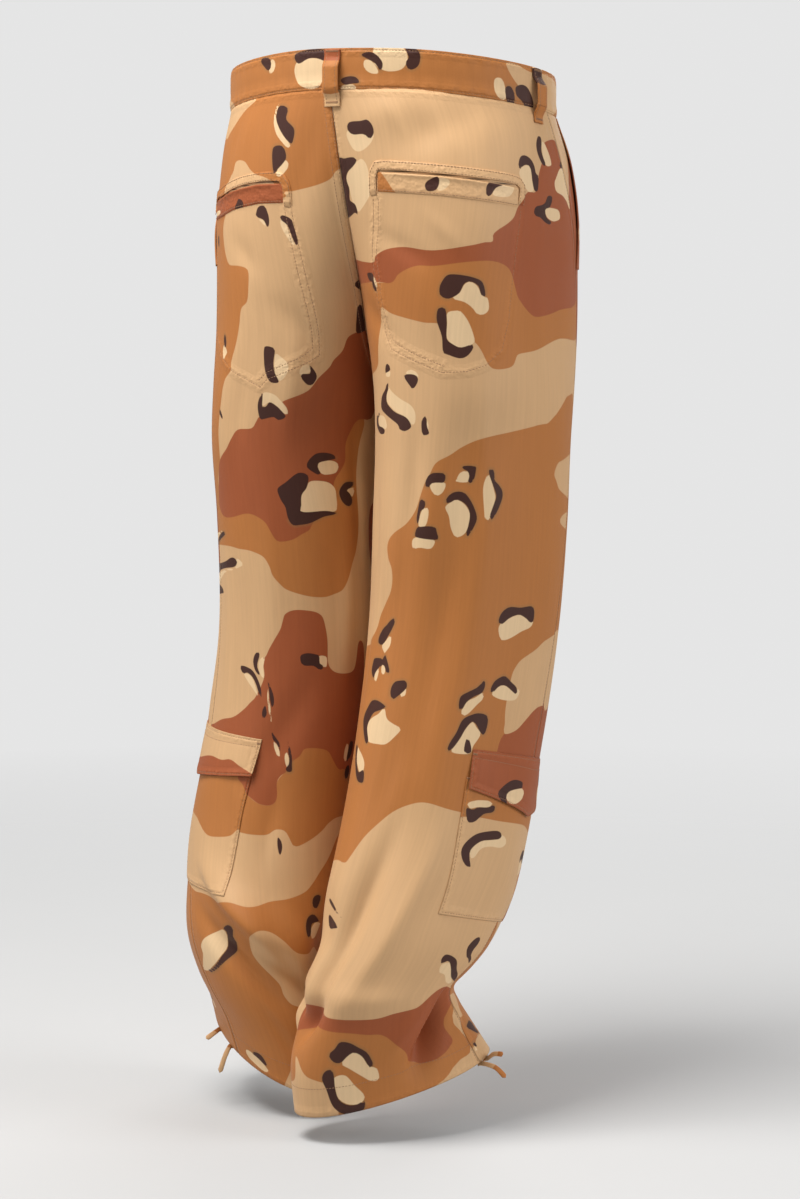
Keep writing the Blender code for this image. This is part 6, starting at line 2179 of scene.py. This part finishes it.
# %% Rows on the patches
TACK_PITCH = {"cargo": 0.0006, "loop": 0.0007}
for side in (LEFT, RIGHT):
    pocket, flap, mouth = (patches[kind, side] for kind in ("pocket", "flap", "mouth"))
    for line in (3, -4):
        patch_row("patch", pocket, slice(3, -4), line)
    patch_row("patch", pocket, -4, slice(3, -4))
    for line in (3, 7):
        patch_row("patch", flap, line, slice(3, -3))
        patch_row("patch", mouth, slice(2, -2), line)
    patch_row("patch", flap, slice(7, -4), 3)
    patch_row("patch", flap, slice(7, -4), -4)
    patch_row("patch", flap, -4, slice(3, -3))
    for columns in (slice(1, 6), slice(-6, -1)):
        patch_row("tack", flap, 5, columns, pitch=TACK_PITCH["cargo"], turned=True)
        patch_row("tack", pocket, 2, columns, pitch=TACK_PITCH["cargo"], turned=True)
band_patch, fly_patch = patches["band", 0], patches["fly", LEFT]
patch_row("band", band_patch, 3, slice(4, -4))
patch_row("band", band_patch, -4, slice(4, -4))
for line in (-3, -6):
    patch_row("patch", fly_patch, slice(2, -3), line)
for patch in loops.values():
    for column in (2, -3):
        patch_row("band", patch, slice(4, -6), column)
    for line in (2, -5):
        patch_row("tack", patch, line, slice(1, -1), pitch=TACK_PITCH["loop"], turned=True)
for kind, rows in sewn_rows.items():
    sew(f"stitches_{kind}", rows, thread)

# %% [markdown]
# ## Sheets listed
#
# A table gives for each piece the flat cut it comes from: width and length before
# sewing, and the area where the cut isn't a rectangle. A row with {} serves left
# and right. The loops below only look up each piece and what it rests on, and
# store nothing.

# %% Sheets
WAIST_SEAM = ["waistband"]
PANELS_BELOW = ["front_{}", "back_{}"]
SHEET_ROWS = (
    # piece, width (left, right), length, area (left, right), held, rests on
    ("back_{}_cloth", (0.300, 0.370), 0.970, (0.248, 0.325), "hung", WAIST_SEAM),
    ("front_{}_cloth", (0.370, 0.290), 0.970, (0.321, 0.239), "hung", WAIST_SEAM),
    ("cargo_pocket_{}_cloth", (0.170, 0.170), 0.124, (None, None), "hung", PANELS_BELOW),
    ("cargo_flap_{}_cloth", (0.176, 0.176), 0.056, (0.0083, 0.0083), "hung", PANELS_BELOW),
    ("waistband_cloth", (1.030,), 0.038, (None,), "stretched", ["back_left", "back_right"]),
    ("back_welt_{}_strip", (0.130, 0.146), 0.020, (None, None), "folded", ["back_{}"]),
    ("front_pocket_edge_{}_cloth", (0.026, 0.026), 0.165, (None, None), "folded", ["front_{}"]),
    ("fly_cloth", (0.038,), 0.170, (None,), "folded", ["front_left"]),
    *((f"{name}_cloth", (0.016,), 0.060, (None,), "folded", WAIST_SEAM) for name in LOOP_ROWS),
)
for pattern, widths, length, areas, held, below in SHEET_ROWS:
    for side, width, area in zip((LEFT, RIGHT), widths, areas):
        piece = bpy.data.objects[pattern.format(side_name(side))]
        rests_on = [node.format(side_name(side)) for node in below]
        frames = [bpy.data.objects[f"back_welt_{side_name(side)}_frame"]]
for (side, rear), piece in hem_turns.items():
    panel_name(side, rear)

# %% [markdown]
# ## Floor and light
#
# The trousers stand alone over a plain pale floor. The floor fades out at its rim,
# so that no edge of it shows, and large soft lamps light the cloth as in a studio.

# %% Floor and studio light
FLOOR_DROP = -1.022
FLOOR_RADIUS = 3.0
FLOOR_COLOUR = (0.54, 0.54, 0.54)
FLOOR_FADE = (0.95, 0.30)
SEEN_GREY = 0.785
LIGHT_GREY = 0.27

floor_recipe = Recipe("pale_floor")
floor_place = floor_recipe.add("ShaderNodeTexCoord", output="Object")
floor_far = floor_recipe.add("ShaderNodeVectorMath", {"operation": "LENGTH"}, {0: floor_place}, "Value")
floor_fade = floor_far.ramp(*(FLOOR_RADIUS * share for share in FLOOR_FADE))
floor_recipe.tree.nodes.remove(floor_recipe.shader)
floor_colour = floor_recipe.shade(FLOOR_COLOUR, 0.99 + floor_recipe.grain(6.0) * 0.02)
floor_body = floor_recipe.add("ShaderNodeBsdfDiffuse", inputs={"Color": floor_colour})
floor_clear = floor_recipe.add("ShaderNodeBsdfTransparent")
floor_mixed = floor_recipe.add("ShaderNodeMixShader", inputs={0: floor_fade, 1: floor_clear, 2: floor_body})
floor_recipe.plug(floor_recipe.tree.nodes["Material Output"].inputs["Surface"], floor_mixed)

reach = np.linspace(-FLOOR_RADIUS, FLOOR_RADIUS, 9)
floor_points = np.stack(np.broadcast_arrays(reach[None, :], -reach[:, None], FLOOR_DROP), axis=-1)
floor_mesh = grid_mesh("floor", floor_points)
floor_mesh.materials.append(floor_recipe.material)
floor = bpy.data.objects.new("floor", floor_mesh)
bpy.context.scene.collection.objects.link(floor)


def add_lamp(name, place, target, size, power, colour):
    """A square soft lamp at a place, turned towards a target."""
    data = bpy.data.lights.new(name, "AREA")
    data.size = size
    data.energy = power
    data.color = colour
    lamp = bpy.data.objects.new(name, data)
    way = np.array(target) - np.array(place)
    level = math.hypot(way[0], way[1])
    lamp.location = place
    lamp.rotation_euler = (math.atan2(level, -way[2]), 0, math.atan2(way[1], way[0]) - math.pi / 2)
    bpy.context.scene.collection.objects.link(lamp)


add_lamp("top_lamp", (0.5, 1.1, 2.0), (0, 0, -0.4), 1.4, 98.0, (1.0, 0.99, 0.97))
add_lamp("key_lamp", (2.3, 2.1, 0.5), (0, 0, -0.5), 1.3, 24.0, (1.0, 0.98, 0.95))
add_lamp("fill_lamp", (-2.8, -0.2, 0.3), (0, 0, -0.5), 1.6, 43.0, (0.98, 0.99, 1.0))
add_lamp("front_lamp", (0.6, -2.8, 1.0), (0, 0, -0.5), 2.2, 44.0, (1.0, 1.0, 1.0))

# The room is seen a little brighter than it lights, as in a studio with a lit wall.
world = bpy.data.worlds.new("studio")
world.use_nodes = True
seen = Recipe.for_tree(world.node_tree).add("ShaderNodeLightPath", output="Is Camera Ray")
strength = seen * (SEEN_GREY - LIGHT_GREY) + LIGHT_GREY
seen.recipe.plug(world.node_tree.nodes["Background"].inputs["Strength"], strength)
world.node_tree.nodes["Background"].inputs["Color"].default_value = (1.0, 1.0, 1.0, 1.0)
bpy.context.scene.world = world
bpy.context.scene.view_settings.view_transform = "Standard"
